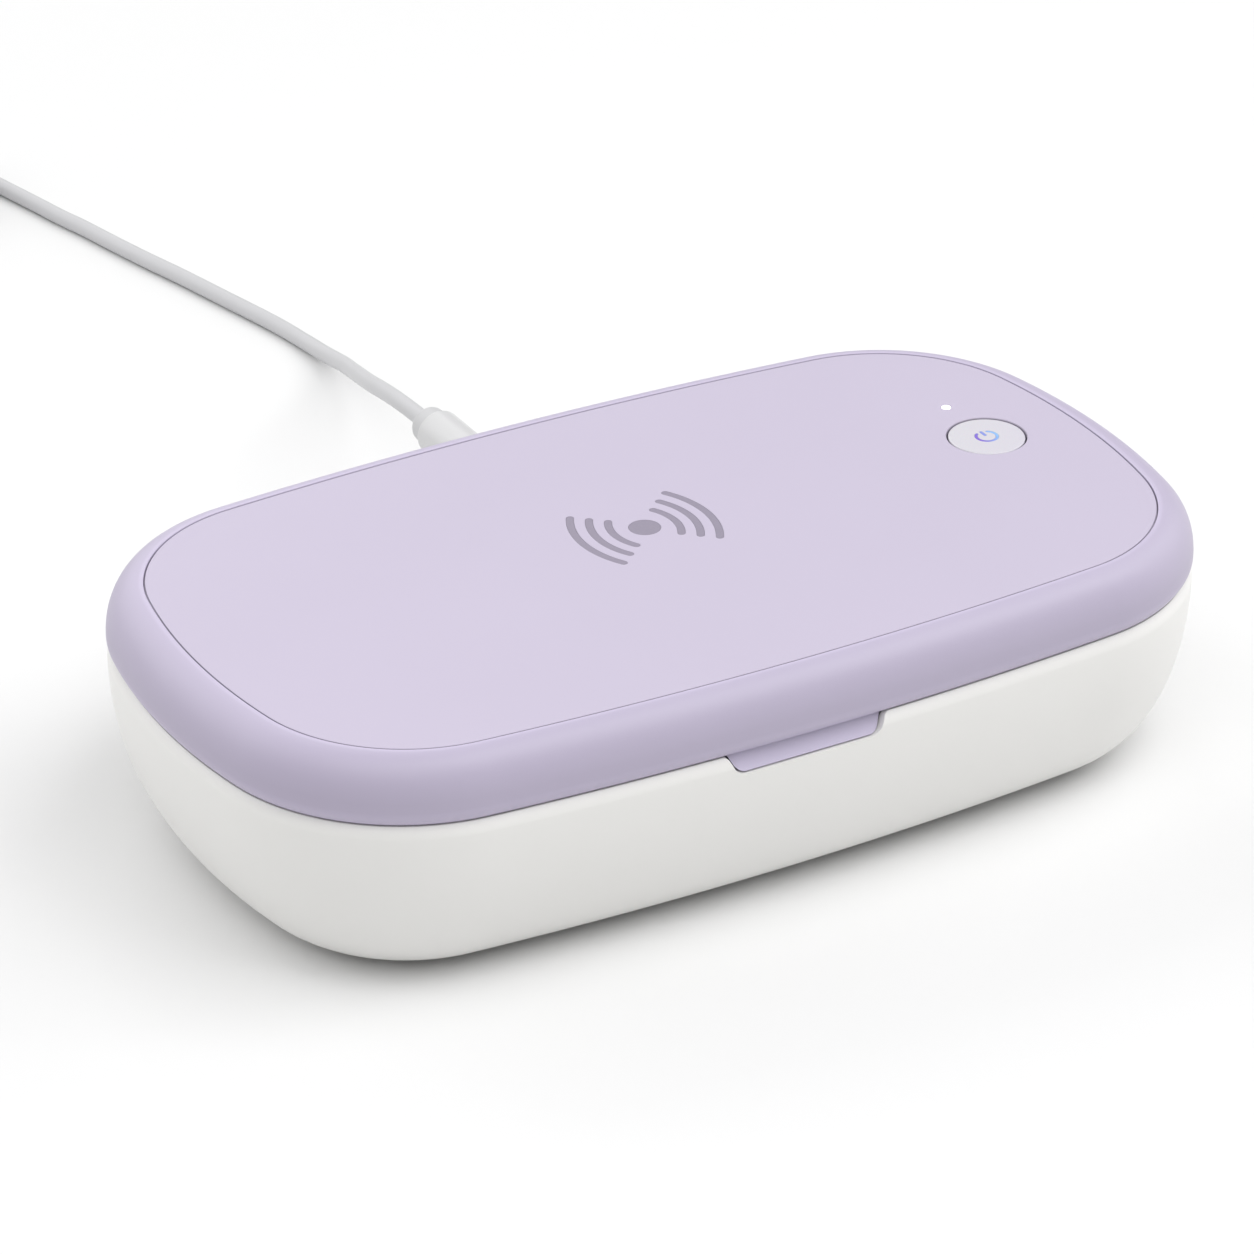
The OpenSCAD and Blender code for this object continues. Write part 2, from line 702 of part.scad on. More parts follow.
// Shared by the main board's and the charger's screws
small_head_r = 1.9;
small_room = 0.2;
// Chips on the main board, each [start along x, width, start in height, height, thickness]
chips = [[-18, 9, 24, 9, 1.2], [-6, 3.5, 19, 2, 1], [12, 4, 20, 4, 1], [20, 3, 20, 1.5, 1]];
// The lid sensor's width, thickness and height, and its distance below the board's edge
sensor = [4, 1.5, 3];
sensor_edge = 0.2;
module at_board_screws() {
    for (x = [board_x[0] + board_edge, board_x[1] - board_edge]) translate([x, 0, board_screw_z]) children();
}
module main_board() color([0.1, 0.35, 0.2]) difference() {
    box(board_x[0], board_x[1], board_y, board_y + board_t, board_z, board_top);
    at_board_screws() y_rod(board_screw_r + small_room, board_y - over, board_y + board_t + over);
}
module main_board_chips() color([0.15, 0.15, 0.16]) {
    face = board_y + board_t;
    for (c = chips) box(c[0], c[0] + c[1], face, face + c[4], c[2], c[2] + c[3]);
}
module hall_sensor() color([0.15, 0.15, 0.16]) {
    face = board_y + board_t;
    top = board_top - sensor_edge;
    box(interlock_x - sensor[0] / 2, interlock_x + sensor[0] / 2, face, face + sensor[1], top - sensor[2], top);
}
module board_screws() color([0.7, 0.7, 0.72]) {
    at_board_screws() translate([0, board_y, 0]) rotate([-90, 0, 0])
        screw(board_screw_r, board_screw_len, small_head_r, board_head_h);
}
socket_wall = 0.45;
socket_gap = 0.15;
socket_floor = 0.6;
socket_r = 1.2;
socket_back = 1.1;
socket_front = front_y - wall - socket_back;
module usb_socket() color([0.75, 0.76, 0.78]) translate([plug_x, 0, plug_z]) {
    cave = [tongue[0] + 2 * socket_gap, tongue[1] + 2 * socket_gap];
    y0 = board_y + board_t;
    difference() {
        translate([0, y0, 0]) rotate([-90, 0, 0])
            linear_extrude(socket_front - y0) rounded(cave[0] + 2 * socket_wall, cave[1] + 2 * socket_wall, socket_r);
        translate([-cave[0] / 2, y0 + socket_floor, -cave[1] / 2]) cube([cave[0], socket_front, cave[1]]);
    }
}
module base_magnets() color([0.75, 0.75, 0.78]) {
    at_magnets() rod(magnet_d / 2, magnet_z, magnet_z + magnet_t);
}
module hinge_pins() color([0.7, 0.7, 0.72]) {
    at_hinges() x_rod(pin_r, -hinge_len / 2, hinge_len / 2);
}
// Harness: both halves end on the hinge line, where it twists as the lid turns
lead_x = 12;
lead_r = 0.9;
lead_room = 0.5;
lead_turn = 4;
lead_gap = 0.2;
lead_sides = 8;
lead_smooth = 3;
lead_z = parting_z - 8;
module base_lead() color([0.2, 0.2, 0.22]) {
    face = board_y + board_t;
    tube(ends_straight([
        [lead_x, face, lead_z], [lead_x, face + 0.6, lead_z], [lead_x, face + 2, lead_z + 0.9],
        [lead_x, face + 2.8, lead_z + 2.8], [lead_x, axis_y - 1.6, parting_z - 2.6],
        [lead_x - 1, axis_y - 0.4, parting_z - 0.7], [lead_x - 3, axis_y, parting_z],
        [lead_x - 6, axis_y, parting_z], [lead_gap, axis_y, parting_z]
    ], lead_smooth), lead_r, lead_sides, up = [1, 1, -1]);
}

// ---- Lid ----
lid_start = parting_z + edge_h;
lid_steps = 9;
function lid_share(i) = sin(90 * i / lid_steps);
function lid_height(i) = lid_start + (top_z - lid_start) * lid_share(i);
function lid_ring(z) = mixed(body_ring(0), panel_ring(-panel_gap), flank((z - lid_start) / (top_z - lid_start), lid_curve));
lid_inner_steps = 4;
module lid_shell() color([0.72, 0.69, 0.78]) {
    difference() {
        union() {
            difference() {
                skin(concat(
                    [for (i = [lid_inner_steps:-1:0])
                        let (z = lid_start + (ceiling_z - lid_start) * i / lid_inner_steps)
                        [mixed(body_ring(wall), panel_ring(wall - panel_gap),
                            flank((z - lid_start) / (top_z - lid_start), lid_curve)), z]],
                    [[body_ring(wall), lid_z + hair],
                     [body_ring(edge_turn), lid_z],
                     [body_ring(edge_turn / 4), lid_z + edge_h / 2]],
                    [for (i = [0:lid_steps]) [lid_ring(lid_height(i)), lid_height(i)]],
                    [[panel_ring(-panel_gap + hair), deck_z]]
                ));
                hinge_relief();
                hinge_room();
            }
            at_lid_screws() rod(boss_d / 2, liner_top, ceiling_z + bite);
            at_charger_screws() rod(charger_boss_r, charger_z + charger_t, ceiling_z + bite);
            at_hinges() lid_barrels();
        }
        at_lid_screws() rod(screw_r + thread_room, liner_top - over, ceiling_z);
        at_charger_screws() rod(charger_screw_r + thread_room, charger_z, ceiling_z + charger_hole);
        at_hinges() x_rod(pin_r + pin_run, -hinge_len, hinge_len);
        translate([button_x, control_y, 0]) rod(button_d / 2 + button_gap, ceiling_z - over, top_z);
        translate([button_x, led_y, 0]) rod(lens_d / 2 + lens_gap, ceiling_z - over, top_z);
    }
}
module lid_barrels() {
    x_rod(barrel_r, -lid_barrel / 2, lid_barrel / 2);
    box(-lid_barrel / 2, lid_barrel / 2, -barrel_r, web_back, 0, web_rise);
}
lens_gap = 0.1;
module lid_top_panel() color([0.86, 0.83, 0.9]) difference() {
    translate([0, 0, deck_z]) linear_extrude(panel_t) polygon(panel_ring(0));
    translate([button_x, control_y, 0]) rod(button_d / 2 + button_gap, deck_z - over, top_z);
    translate([button_x, led_y, 0]) rod(lens_d / 2 + lens_gap, deck_z - over, top_z);
    translate([0, control_y, panel_z - inlay_t]) linear_extrude(over) symbol(inlay_gap);
}
// One arc of the symbol with round ends, and the whole symbol, grown by a margin
stroke_steps = 12;
cap_steps = 6;
arcs = 3;
function stroke_arc(r, w, a0, a1) = concat(
    [for (i = [0:stroke_steps]) (r + w / 2) * dir(a0 + (a1 - a0) * i / stroke_steps)],
    [for (i = [1:cap_steps - 1]) r * dir(a1) + w / 2 * dir(a1 + 180 * i / cap_steps)],
    [for (i = [stroke_steps:-1:0]) (r - w / 2) * dir(a0 + (a1 - a0) * i / stroke_steps)],
    [for (i = [1:cap_steps - 1]) r * dir(a0) + w / 2 * dir(a0 + 180 + 180 * i / cap_steps)]
);
module symbol(grow) {
    circle(d = dot_d + 2 * grow);
    for (s = [0, 1]) mirror([s, 0]) for (i = [0:arcs - 1]) {
        r = arc_r + arc_grow * i;
        translate([arc_reach + arc_step * i - r, 0])
            polygon(stroke_arc(r, arc_stroke + 2 * grow, -arc_half, arc_half));
    }
}
module wireless_symbol() color([0.62, 0.58, 0.7]) {
    translate([0, control_y, panel_z - inlay_t]) linear_extrude(inlay_t) symbol(0);
}

magnet_lip = 0.1;
liner_front = 0.8;
// The harness's cut-out, from its middle to each side
lead_cut = [8, 4];
module magnet_cup() {
    rod(magnet_d / 2 + magnet_gap + magnet_wall, liner_z - magnet_t + magnet_lip, liner_z + bite);
}
module magnet_bore() {
    rod(magnet_d / 2 + magnet_gap, liner_z - magnet_t - over, liner_z + magnet_lip);
}
module lid_liner() color([0.84, 0.81, 0.88]) {
    difference() {
        union() {
            difference() {
                union() {
                    translate([0, 0, liner_z]) linear_extrude(liner_t) polygon(body_ring(carrier_inset));
                    finger_tab();
                }
                for (s = [-1, 1]) box(
                    s * hinge_x - hinge_len / 2 - hinge_side, s * hinge_x + hinge_len / 2 + hinge_side,
                    axis_y - barrel_r - liner_front, front_y, liner_z - over, liner_top + over
                );
                box(
                    -lead_x - lead_cut[0], -lead_x + lead_cut[1],
                    axis_y - barrel_r - liner_front, front_y, liner_z - over, liner_top + over
                );
            }
            at_magnets() magnet_cup();
            at_interlock() magnet_cup();
            at_lamp_pins() {
                rod(pad_r, liner_top - bite, upper_board_z);
                rod(stake_r, liner_top, upper_board_z + lamp_board_t + stake_proud);
            }
            at_switch_pins() {
                rod(pad_r, liner_top - bite, switch_board_z);
                rod(stake_r, liner_top, switch_board_z + switch_board_t + stake_proud);
            }
        }
        at_magnets() magnet_bore();
        at_interlock() magnet_bore();
        at_lid_screws() rod(screw_r + screw_room, liner_z - over, liner_top + over);
        at_lamps() {
            rod(window_d / 2 - window_ledge, liner_z - over, liner_top + over);
            rod(window_d / 2 + window_gap, liner_z - over, liner_z + window_t);
        }
    }
}
// The tab hangs in the base's notch. Its face starts behind the lid's wall and sweeps out to a lip.
tab_face = -front_y + wall + drop_gap;
tab_step = 0.1;
module finger_tab() {
    lip_z = parting_z - notch_h + part_gap;
    mid_z = (lid_z + lip_z) / 2;
    half = norm([tab_lip, lid_z - lip_z]) / 2;
    reach = sqrt(scoop_r * scoop_r - half * half);
    slope = unit([-tab_lip, lip_z - lid_z]);
    centre = [tab_face - tab_lip / 2, mid_z] + reach * [slope[1], -slope[0]];
    difference() {
        intersection() {
            translate([tab_x, tab_face + tab_t, 0]) rotate([90, 0, 0])
                linear_extrude(tab_t + tab_lip) notch_shape(part_gap);
            box(tab_x - notch_w / 2, tab_x + notch_w / 2, -front_y, 0, 0, liner_top);
        }
        translate([0, centre[0], centre[1]]) x_rod(scoop_r, -body_len / 2, body_len / 2);
        box(-body_len / 2, body_len / 2, -front_y - over, tab_face, lid_z - tab_step, liner_top + over);
    }
}
module lid_screws() color([0.7, 0.7, 0.72]) {
    at_lid_screws() translate([0, 0, liner_z]) screw(screw_r, ceiling_z - liner_z - screw_end, head_r, head_h);
}
module lid_gasket() color([0.3, 0.3, 0.32]) {
    translate([0, 0, flange_z + seal_gap]) linear_extrude(liner_z - flange_z - seal_gap) difference() {
        polygon(body_ring(seal_in));
        polygon(body_ring(seal_in + seal_w));
    }
}
module lid_magnets() color([0.75, 0.75, 0.78]) {
    at_magnets() rod(magnet_d / 2, liner_z + magnet_lip - magnet_t, liner_z + magnet_lip);
}
module interlock_magnet() color([0.75, 0.75, 0.78]) {
    at_interlock() rod(magnet_d / 2, liner_z + magnet_lip - magnet_t, liner_z + magnet_lip);
}

// ---- Wireless charger ----
winding_z = ceiling_z - winding_t;
ferrite_z = winding_z - ferrite_t;
charger_z = ferrite_z - charger_t;
charger_screw_r = 0.9;
charger_head_h = 1;
charger_boss_r = 2.4;
// How far the charger's screws and their holes reach into the deck
charger_hold = 0.5;
charger_hole = 0.8;
module charging_winding() color([0.75, 0.45, 0.25]) translate([0, control_y, winding_z]) difference() {
    cylinder(d = winding_d, h = winding_t);
    translate([0, 0, -over]) cylinder(d = winding_in_d, h = winding_t + 2 * over);
}
module ferrite_disc() color([0.2, 0.2, 0.2]) translate([0, control_y, ferrite_z]) cylinder(d = ferrite_d, h = ferrite_t);
module charging_board() color([0.1, 0.35, 0.2]) difference() {
    translate([0, control_y, charger_z + charger_t / 2]) cube([charger[0], charger[1], charger_t], center = true);
    at_charger_screws() rod(charger_screw_r + small_room, charger_z - over, ferrite_z + over);
}
module charger_screws() color([0.7, 0.7, 0.72]) {
    at_charger_screws() translate([0, 0, charger_z])
        screw(charger_screw_r, ceiling_z + charger_hold - charger_z, small_head_r, charger_head_h);
}

// ---- Button ----
collar_gap = 0.3;
collar_ledge = 0.85;
collar_top = ceiling_z - collar_gap;
cap_base = collar_top - collar_t;
cap_top = panel_z + button_proud;
// The plunger: how much shows when pressed, how deep it stands in the switch, and its clearances
plunger_show = 0.5;
plunger_dip = 0.5;
plunger_gap = 0.1;
plunger_floor = 0.2;
switch_top = cap_base - button_travel - plunger_show;
switch_board_z = switch_top - switch_h - switch_board_t;
led_size = [2, 1.2, 0.8];
led_gap = 0.3;
lens_flange = 0.6;
lens_flange_t = 0.8;
module at_button() {
    translate([button_x, control_y, 0]) children();
}
// The two pads under the switch board, before the button and behind the status light
switch_pad = [11, 5];
switch_pad_y = [-switch_pad[0], led_step + switch_pad[1]];
switch_edge = 3;
module at_switch_pins() {
    for (y = switch_pad_y) translate([button_x, control_y + y, 0]) children();
}
module button_cap() color([0.93, 0.91, 0.93]) at_button() difference() {
    union() {
        rod(button_d / 2, cap_base, cap_top);
        rod(button_d / 2 + button_gap + collar_ledge, cap_base, collar_top);
    }
    translate([0, 0, cap_top - inlay_t]) linear_extrude(over) standby(inlay_gap);
}
// The common standby sign: an open ring with a bar in its gap, in shares of the ring's diameter
standby_turn = [125, 415];
bar_at = 0.28;
bar_length = 0.44;
module standby(grow) {
    polygon(stroke_arc(
        standby_d / 2 - standby_stroke / 2, standby_stroke + 2 * grow, standby_turn[0], standby_turn[1]
    ));
    translate([0, standby_d * bar_at])
        square([standby_stroke + 2 * grow, standby_d * bar_length + 2 * grow], center = true);
}
module button_symbol() color([0.55, 0.5, 0.8]) {
    at_button() translate([0, 0, cap_top - inlay_t]) linear_extrude(inlay_t) standby(0);
}
module switch_plunger() color([0.25, 0.25, 0.27]) at_button() rod(plunger_r, switch_top - plunger_dip, cap_base);
module button_board() color([0.1, 0.35, 0.2]) difference() {
    box(
        button_x - switch_board_w / 2, button_x + switch_board_w / 2,
        control_y + switch_pad_y[0] - switch_edge, control_y + switch_pad_y[1] + switch_edge,
        switch_board_z, switch_board_z + switch_board_t
    );
    at_switch_pins() rod(stake_r + stake_gap, switch_board_z - over, switch_top);
}
module tact_switch() color([0.2, 0.2, 0.22]) at_button() difference() {
    translate([0, 0, switch_top - switch_h / 2]) cube([switch_w, switch_w, switch_h], center = true);
    rod(plunger_r + plunger_gap, switch_top - plunger_dip - button_travel - plunger_floor, switch_top + over);
}
module status_led() color([0.9, 0.9, 0.8])
    translate([button_x, led_y, switch_top - switch_h + led_size[2] / 2]) cube(led_size, center = true);
module led_lens() color([0.95, 0.95, 0.97]) translate([button_x, led_y, 0]) {
    rod(lens_d / 2, switch_top - switch_h + led_size[2] + led_gap, panel_z);
    rod(lens_d / 2 + lens_flange, ceiling_z - lens_flange_t, ceiling_z);
}
module lid_lead() color([0.2, 0.2, 0.22]) {
    board_edge_y = control_y + charger[1] / 2;
    level = charger_z + charger_t / 2;
    tube(ends_straight([
        [-lead_gap, axis_y, parting_z], [-lead_x / 2, axis_y, parting_z], [-lead_x + 2, axis_y, parting_z],
        [-lead_x, axis_y - 0.6, parting_z + 1], [-lead_x - 2, axis_y - 2.8, liner_top + 1.2],
        [-lead_x - 3, axis_y - 7, level - 0.6], [-lead_x - 3, axis_y - 14, level],
        [-lead_x - 3, board_edge_y + 2, level], [-lead_x - 3, board_edge_y, level]
    ], lead_smooth), lead_r, lead_sides, up = [1, -1, 1]);
}

// ---- Supply plug and lead ----
plug_y = front_y - seat_depth;
plug_end = plug_y + plug_len;
tongue_r = 1;
tongue_end = 0.3;
plug_soft = 1;
relief_soft = 1.6;
module usb_plug_tongue() color([0.78, 0.78, 0.8]) translate([plug_x, plug_y, plug_z]) rotate([90, 0, 0])
    linear_extrude(plug_y - board_y - board_t - socket_floor - tongue_end) rounded(tongue[0], tongue[1], tongue_r);
// A round bar along Y whose far edge is rounded
module soft_bar(r, length, soft) {
    rotate([-90, 0, 0]) rotate_extrude() polygon(concat(
        [[0, 0], [r, 0]],
        [for (a = [0:18:90]) [r - soft + soft * cos(a), length - soft + soft * sin(a)]],
        [[0, length]]
    ));
}
module usb_plug_body() color([0.9, 0.9, 0.9])
    translate([plug_x, plug_y, plug_z]) soft_bar(plug_d / 2, plug_len, plug_soft);
module strain_relief() color([0.9, 0.9, 0.9])
    translate([plug_x, plug_end, plug_z]) soft_bar(relief_d / 2, relief_len, relief_soft);
cord_r = cord_d / 2;
// The lead's route from the strain relief, down to the table and on to the coil
cord_route = [
    [5, 108.5, 30], [5, 112.5, 30], [5.3, 120, 29.4], [6.8, 131, 27.1], [9.6, 144, 23.1], [14, 158, 17.4],
    [19, 171, 12.2], [23, 184, 7.5], [25.2, 197, 3.8], [25.4, 209, 2.2], [24, 220, 2],
    [21.9, 230, 2], [19.5, 240.5, 2], [17.4, 250, 2], [15.3, 259, 2], [13.1, 267.5, 2], [11.1, 276, 2],
    [9.1, 285, 2], [7.2, 294, 2], [4.9, 303, 2], [2.9, 312.5, 2], [1, 321, 2], [-1.2, 330, 2.2],
    [-3.3, 338.5, 2.6]
];
coil_at = [-33, 344.5, 2.8];
coil_start_a = 11.5;
turns_in = 2.625;
loop_steps = 24;
// The coil winds in and out again at one pitch, and climbs a layer in the half turn where it reverses
function coil_point(u) =
    let (
        r = coil_r - coil_pitch * min(u, 2 * turns_in - u),
        climb = min(1, max(0, (u - turns_in) * 2 + 0.5)),
        a = coil_start_a + 360 * u
    )
    [coil_at[0] + r * cos(a), coil_at[1] + r * sin(a), coil_at[2] + coil_pitch * climb * climb * (3 - 2 * climb)];
function tangent(a) = [-sin(a), cos(a), 0];
coil_ends = [0, 2 * turns_in];
function straight_end(u, s) = coil_point(u) + s * cord_d * tangent(coil_start_a + 360 * u);
coil_points = concat(
    [straight_end(coil_ends[0], -1)],
    [for (i = [0:round(coil_ends[1] * loop_steps)]) coil_point(i / loop_steps)],
    [straight_end(coil_ends[1], 1)]
);
// From the coil's last turn down to the table and round to the far plug
tail_end = [-74, 341, 3.8];
tail_route = [
    coil_points[len(coil_points) - 1], straight_end(coil_ends[1], 2),
    [-56.5, 366, 6.2], [-64.5, 361, 4.4], [-70.6, 354.5, 3.8], [-73.8, 349, 3.8], [-74, 345, 3.8], tail_end
];
cord_entry = coil_points[0];
run_points = ends_straight(concat(cord_route, [cord_entry - cord_d * tangent(coil_start_a), cord_entry]), 2);
tail_points = ends_straight(tail_route, 2);
function run_length(p) = len(p) < 2 ? 0 : [for (i = [1:len(p) - 1]) norm(p[i] - p[i - 1])] * [for (i = [1:len(p) - 1]) 1];
// Least gap of the coil to itself, between points more than half a turn apart
coil_gap = min([for (i = [0:len(coil_points) - 1]) for (j = [i + loop_steps / 2:1:len(coil_points) - 1])
    norm(coil_points[i] - coil_points[j])]) - cord_d;
echo(coil_gap = coil_gap);
echo(lead_length = run_length(run_points) + run_length(coil_points) + run_length(tail_points));

run_sides = 10;
coil_sides = 6;
module cord_run() color([0.88, 0.88, 0.88]) tube(run_points, cord_r, run_sides);
module cord_coil() color([0.88, 0.88, 0.88]) tube(coil_points, cord_r, coil_sides);
module cord_tail() color([0.88, 0.88, 0.88]) tube(tail_points, cord_r, run_sides);
// The tie stands round the coil's bundle at one angle, with its clearances inside and outside
tie_a = 300;
tie_r = 0.8;
tie_gap = 0.3;
tie_gap_in = 0.6;
module cord_tie() color([0.25, 0.25, 0.26]) {
    in_r = coil_r - coil_pitch * turns_in - cord_r - tie_gap_in;
    out_r = coil_r + cord_r + tie_gap;
    top = coil_at[2] + coil_pitch + cord_r + tie_gap;
    translate([coil_at[0], coil_at[1], 0]) rotate([0, 0, tie_a]) translate([0, tie_w / 2, 0]) rotate([90, 0, 0])
        linear_extrude(tie_w) translate([(in_r + out_r) / 2, (top + tie_t) / 2]) difference() {
            rounded(out_r - in_r + 2 * tie_t, top + tie_t, tie_r + tie_t);
            rounded(out_r - in_r, top - tie_t, tie_r);
        }
}
// The far plug's moulded body, its metal shell and the tongue inside it
far_body = [15.4, 7.6, 26];
far_body_r = 2.4;
far_shell = [12, 4.5, 12];
far_wall = 0.3;
far_tongue_gap = 0.4;
far_tongue_z = 0.2;
far_tongue_end = 1;
module usb_a_plug_body() color([0.9, 0.9, 0.9]) translate(tail_end) rotate([90, 0, 0])
    linear_extrude(far_body[2]) rounded(far_body[0], far_body[1], far_body_r);
module usb_a_plug_shell() color([0.78, 0.78, 0.8]) translate(tail_end - [0, far_body[2], 0]) rotate([90, 0, 0])
    linear_extrude(far_shell[2]) difference() {
        square([far_shell[0], far_shell[1]], center = true);
        square([far_shell[0] - 2 * far_wall, far_shell[1] - 2 * far_wall], center = true);
    }
module usb_a_plug_tongue() color([0.9, 0.9, 0.92]) translate(tail_end - [0, far_body[2], 0])
    box(
        -far_shell[0] / 2 + far_tongue_gap, far_shell[0] / 2 - far_tongue_gap,
        -far_shell[2] + far_tongue_end, 0, far_tongue_z, far_shell[1] / 2 - far_tongue_gap
    );

base_shell();
rubber_feet();
base_screws();
base_tray();
phone_rests();
lower_lamp_boards();
lower_uv_lamps();
lower_lamp_windows();
main_board();
main_board_chips();
hall_sensor();
board_screws();
usb_socket();
base_magnets();
hinge_pins();
base_lead();
lid_shell();
lid_top_panel();
wireless_symbol();
lid_liner();
lid_screws();
lid_gasket();
lid_magnets();
interlock_magnet();
upper_lamp_boards();
upper_uv_lamps();
upper_lamp_windows();
charging_winding();
ferrite_disc();
charging_board();
charger_screws();
button_board();
tact_switch();
status_led();
led_lens();
lid_lead();
button_cap();
button_symbol();
switch_plunger();
usb_plug_tongue();
usb_plug_body();
strain_relief();
cord_run();
cord_coil();
cord_tail();
cord_tie();
usb_a_plug_body();
usb_a_plug_shell();
usb_a_plug_tongue();
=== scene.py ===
import json
import math

import bmesh
import bpy
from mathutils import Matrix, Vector
from mathutils.geometry import interpolate_bezier


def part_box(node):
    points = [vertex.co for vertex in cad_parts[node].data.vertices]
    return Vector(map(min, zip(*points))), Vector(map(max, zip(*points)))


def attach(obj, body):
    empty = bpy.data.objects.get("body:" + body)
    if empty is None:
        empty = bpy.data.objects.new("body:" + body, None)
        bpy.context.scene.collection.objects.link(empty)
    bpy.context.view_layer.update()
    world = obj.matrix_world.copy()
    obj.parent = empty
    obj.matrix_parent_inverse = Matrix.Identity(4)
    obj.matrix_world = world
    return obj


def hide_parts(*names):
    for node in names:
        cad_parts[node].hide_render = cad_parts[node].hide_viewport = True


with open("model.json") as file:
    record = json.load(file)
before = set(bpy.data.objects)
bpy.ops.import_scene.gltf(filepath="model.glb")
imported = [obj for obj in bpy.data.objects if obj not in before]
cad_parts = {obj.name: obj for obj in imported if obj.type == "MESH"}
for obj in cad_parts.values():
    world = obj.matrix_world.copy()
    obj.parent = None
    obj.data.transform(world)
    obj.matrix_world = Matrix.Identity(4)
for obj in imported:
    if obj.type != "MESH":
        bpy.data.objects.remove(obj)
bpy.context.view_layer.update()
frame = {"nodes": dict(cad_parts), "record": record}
mm = 0.001
over = 1  # how far a cut, or a form that is joined on, reaches past its place
print("frame loaded:", len(frame["nodes"]), "nodes")


def onCircle(centre, radius, degrees):
    turn = math.radians(degrees)
    return (centre[0] + radius * math.cos(turn), centre[1] + radius * math.sin(turn))


def towards(azimuth, elevation):
    # The way from the middle to a camera or light, round from the front and up
    turn, up = math.radians(azimuth), math.radians(elevation)
    level = math.cos(up)
    return Vector((math.sin(turn) * level, -math.cos(turn) * level, math.sin(up)))


def aim(thing, back):
    thing.rotation_mode = "QUATERNION"
    thing.rotation_quaternion = (-back).to_track_quat("-Z", "Y")


def pick(spec, names):
    # Some of a dictionary's values, by their names
    return [spec[name] for name in names.split()]


def newObject(name, data):
    made = bpy.data.objects.new(name, data)
    bpy.context.scene.collection.objects.link(made)
    return made


def choose(piece):
    bpy.ops.object.select_all(action="DESELECT")
    piece.select_set(True)
    bpy.context.view_layer.objects.active = piece


# Camera at the photograph's angle
cameraView = {"azimuth": -29.791, "elevation": 28.914, "distance": 1049.22,
              "target": (-11.877, -8.624, 40), "lens": 152.1, "sensor": 36, "clip": (0.02, 20)}


def placeCamera(view):
    back = towards(view["azimuth"], view["elevation"])
    lensData = bpy.data.cameras.new("photoCamera")
    lensData.lens, lensData.sensor_width = view["lens"], view["sensor"]
    lensData.clip_start, lensData.clip_end = view["clip"]
    camera = newObject("photoCamera", lensData)
    camera.location = (Vector(view["target"]) + back * view["distance"]) * mm
    aim(camera, back)
    bpy.context.scene.camera = camera


placeCamera(cameraView)
print("camera placed")

# Supply lead, from the strain relief down to the table and into its put-away coil
lead = {
    "diameter": 4, "drawn": 3.9, "length": 1010.7,
    "route": [
        (5, 108.5, 30), (5, 112.5, 30), (5.3, 120, 29.4), (6.8, 131, 27.1), (9.6, 144, 23.1),
        (14, 158, 17.9), (19, 171, 12.2), (23, 184, 7.5), (25.2, 197, 3.8), (25.4, 209, 2.2),
        (24, 220, 2), (21.9, 230, 2), (19.5, 240.5, 2), (17.4, 250, 2), (15.3, 259, 2),
        (13.1, 267.5, 2), (11.1, 276, 2), (9.1, 285, 2), (7.2, 294, 2), (4.9, 303, 2),
        (2.9, 312.5, 2), (1, 321, 2), (-1.2, 330, 2.2), (-3.3, 338.5, 2.6)],
    "coilAt": (-33, 344.5, 2.8), "coilR": 27.5, "pitch": 4.6, "climbTurns": 0.5,
    "startAngle": 11.5, "turnsIn": 2.625, "stepsPerTurn": 24,
    "tail": [(-56.5, 366, 6.2), (-64.5, 361, 4.4), (-70.6, 354.5, 3.8), (-73.8, 349, 3.8),
             (-74, 345, 3.8), (-74, 341, 3.8)],
    "sides": 4, "smoothness": 4,
}


def coilPoint(turns):
    coilR, pitch, turnsIn, (x, y, z) = pick(lead, "coilR pitch turnsIn coilAt")
    radius = coilR - pitch * min(turns, 2 * turnsIn - turns)
    climb = min(1, max(0, (turns - turnsIn) / lead["climbTurns"] + 0.5))
    return (*onCircle((x, y), radius, lead["startAngle"] + 360 * turns),
            z + pitch * climb * climb * (3 - 2 * climb))


def coilTangentPoint(turns, diameters):
    # A point straight on from the coil, so many diameters away
    x, y, z = coilPoint(turns)
    away = diameters * lead["diameter"]
    return (*onCircle((x, y), away, lead["startAngle"] + 360 * turns + 90), z)


def makeLead():
    turns, perTurn = 2 * lead["turnsIn"], lead["stepsPerTurn"]
    coil = [coilPoint(i / perTurn) for i in range(round(turns * perTurn) + 1)]
    entry, leaving = ([coilTangentPoint(at, diameters) for diameters in away]
                      for at, away in ((0, (-2, -1)), (turns, (1, 2))))
    points = lead["route"] + entry + coil + leaving + lead["tail"]
    shape = bpy.data.curves.new("supply_lead", "CURVE")
    shape.dimensions = "3D"
    shape.bevel_depth = lead["drawn"] / 2 * mm
    shape.bevel_resolution, shape.resolution_u = lead["sides"], lead["smoothness"]
    shape.use_fill_caps = True
    line = shape.splines.new("BEZIER")
    line.bezier_points.add(len(points) - 1)
    for knot, point in zip(line.bezier_points, points):
        knot.co = Vector(point) * mm
        knot.handle_left_type = knot.handle_right_type = "AUTO"
    piece = newObject("supply_lead", shape)
    bpy.context.view_layer.update()
    knots = list(line.bezier_points)
    centreline = []
    for knot, following in zip(knots, knots[1:]):
        centreline += interpolate_bezier(knot.co, knot.handle_right, following.handle_left,
                                         following.co, lead["smoothness"] + 1)[:-1]
    centreline.append(knots[-1].co.copy())
    choose(piece)
    bpy.ops.object.convert(target="MESH")
    return piece, centreline


supplyLead, leadLine = makeLead()
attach(supplyLead, "base")
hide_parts("cord_run", "cord_coil", "cord_tail")
print("lead laid")


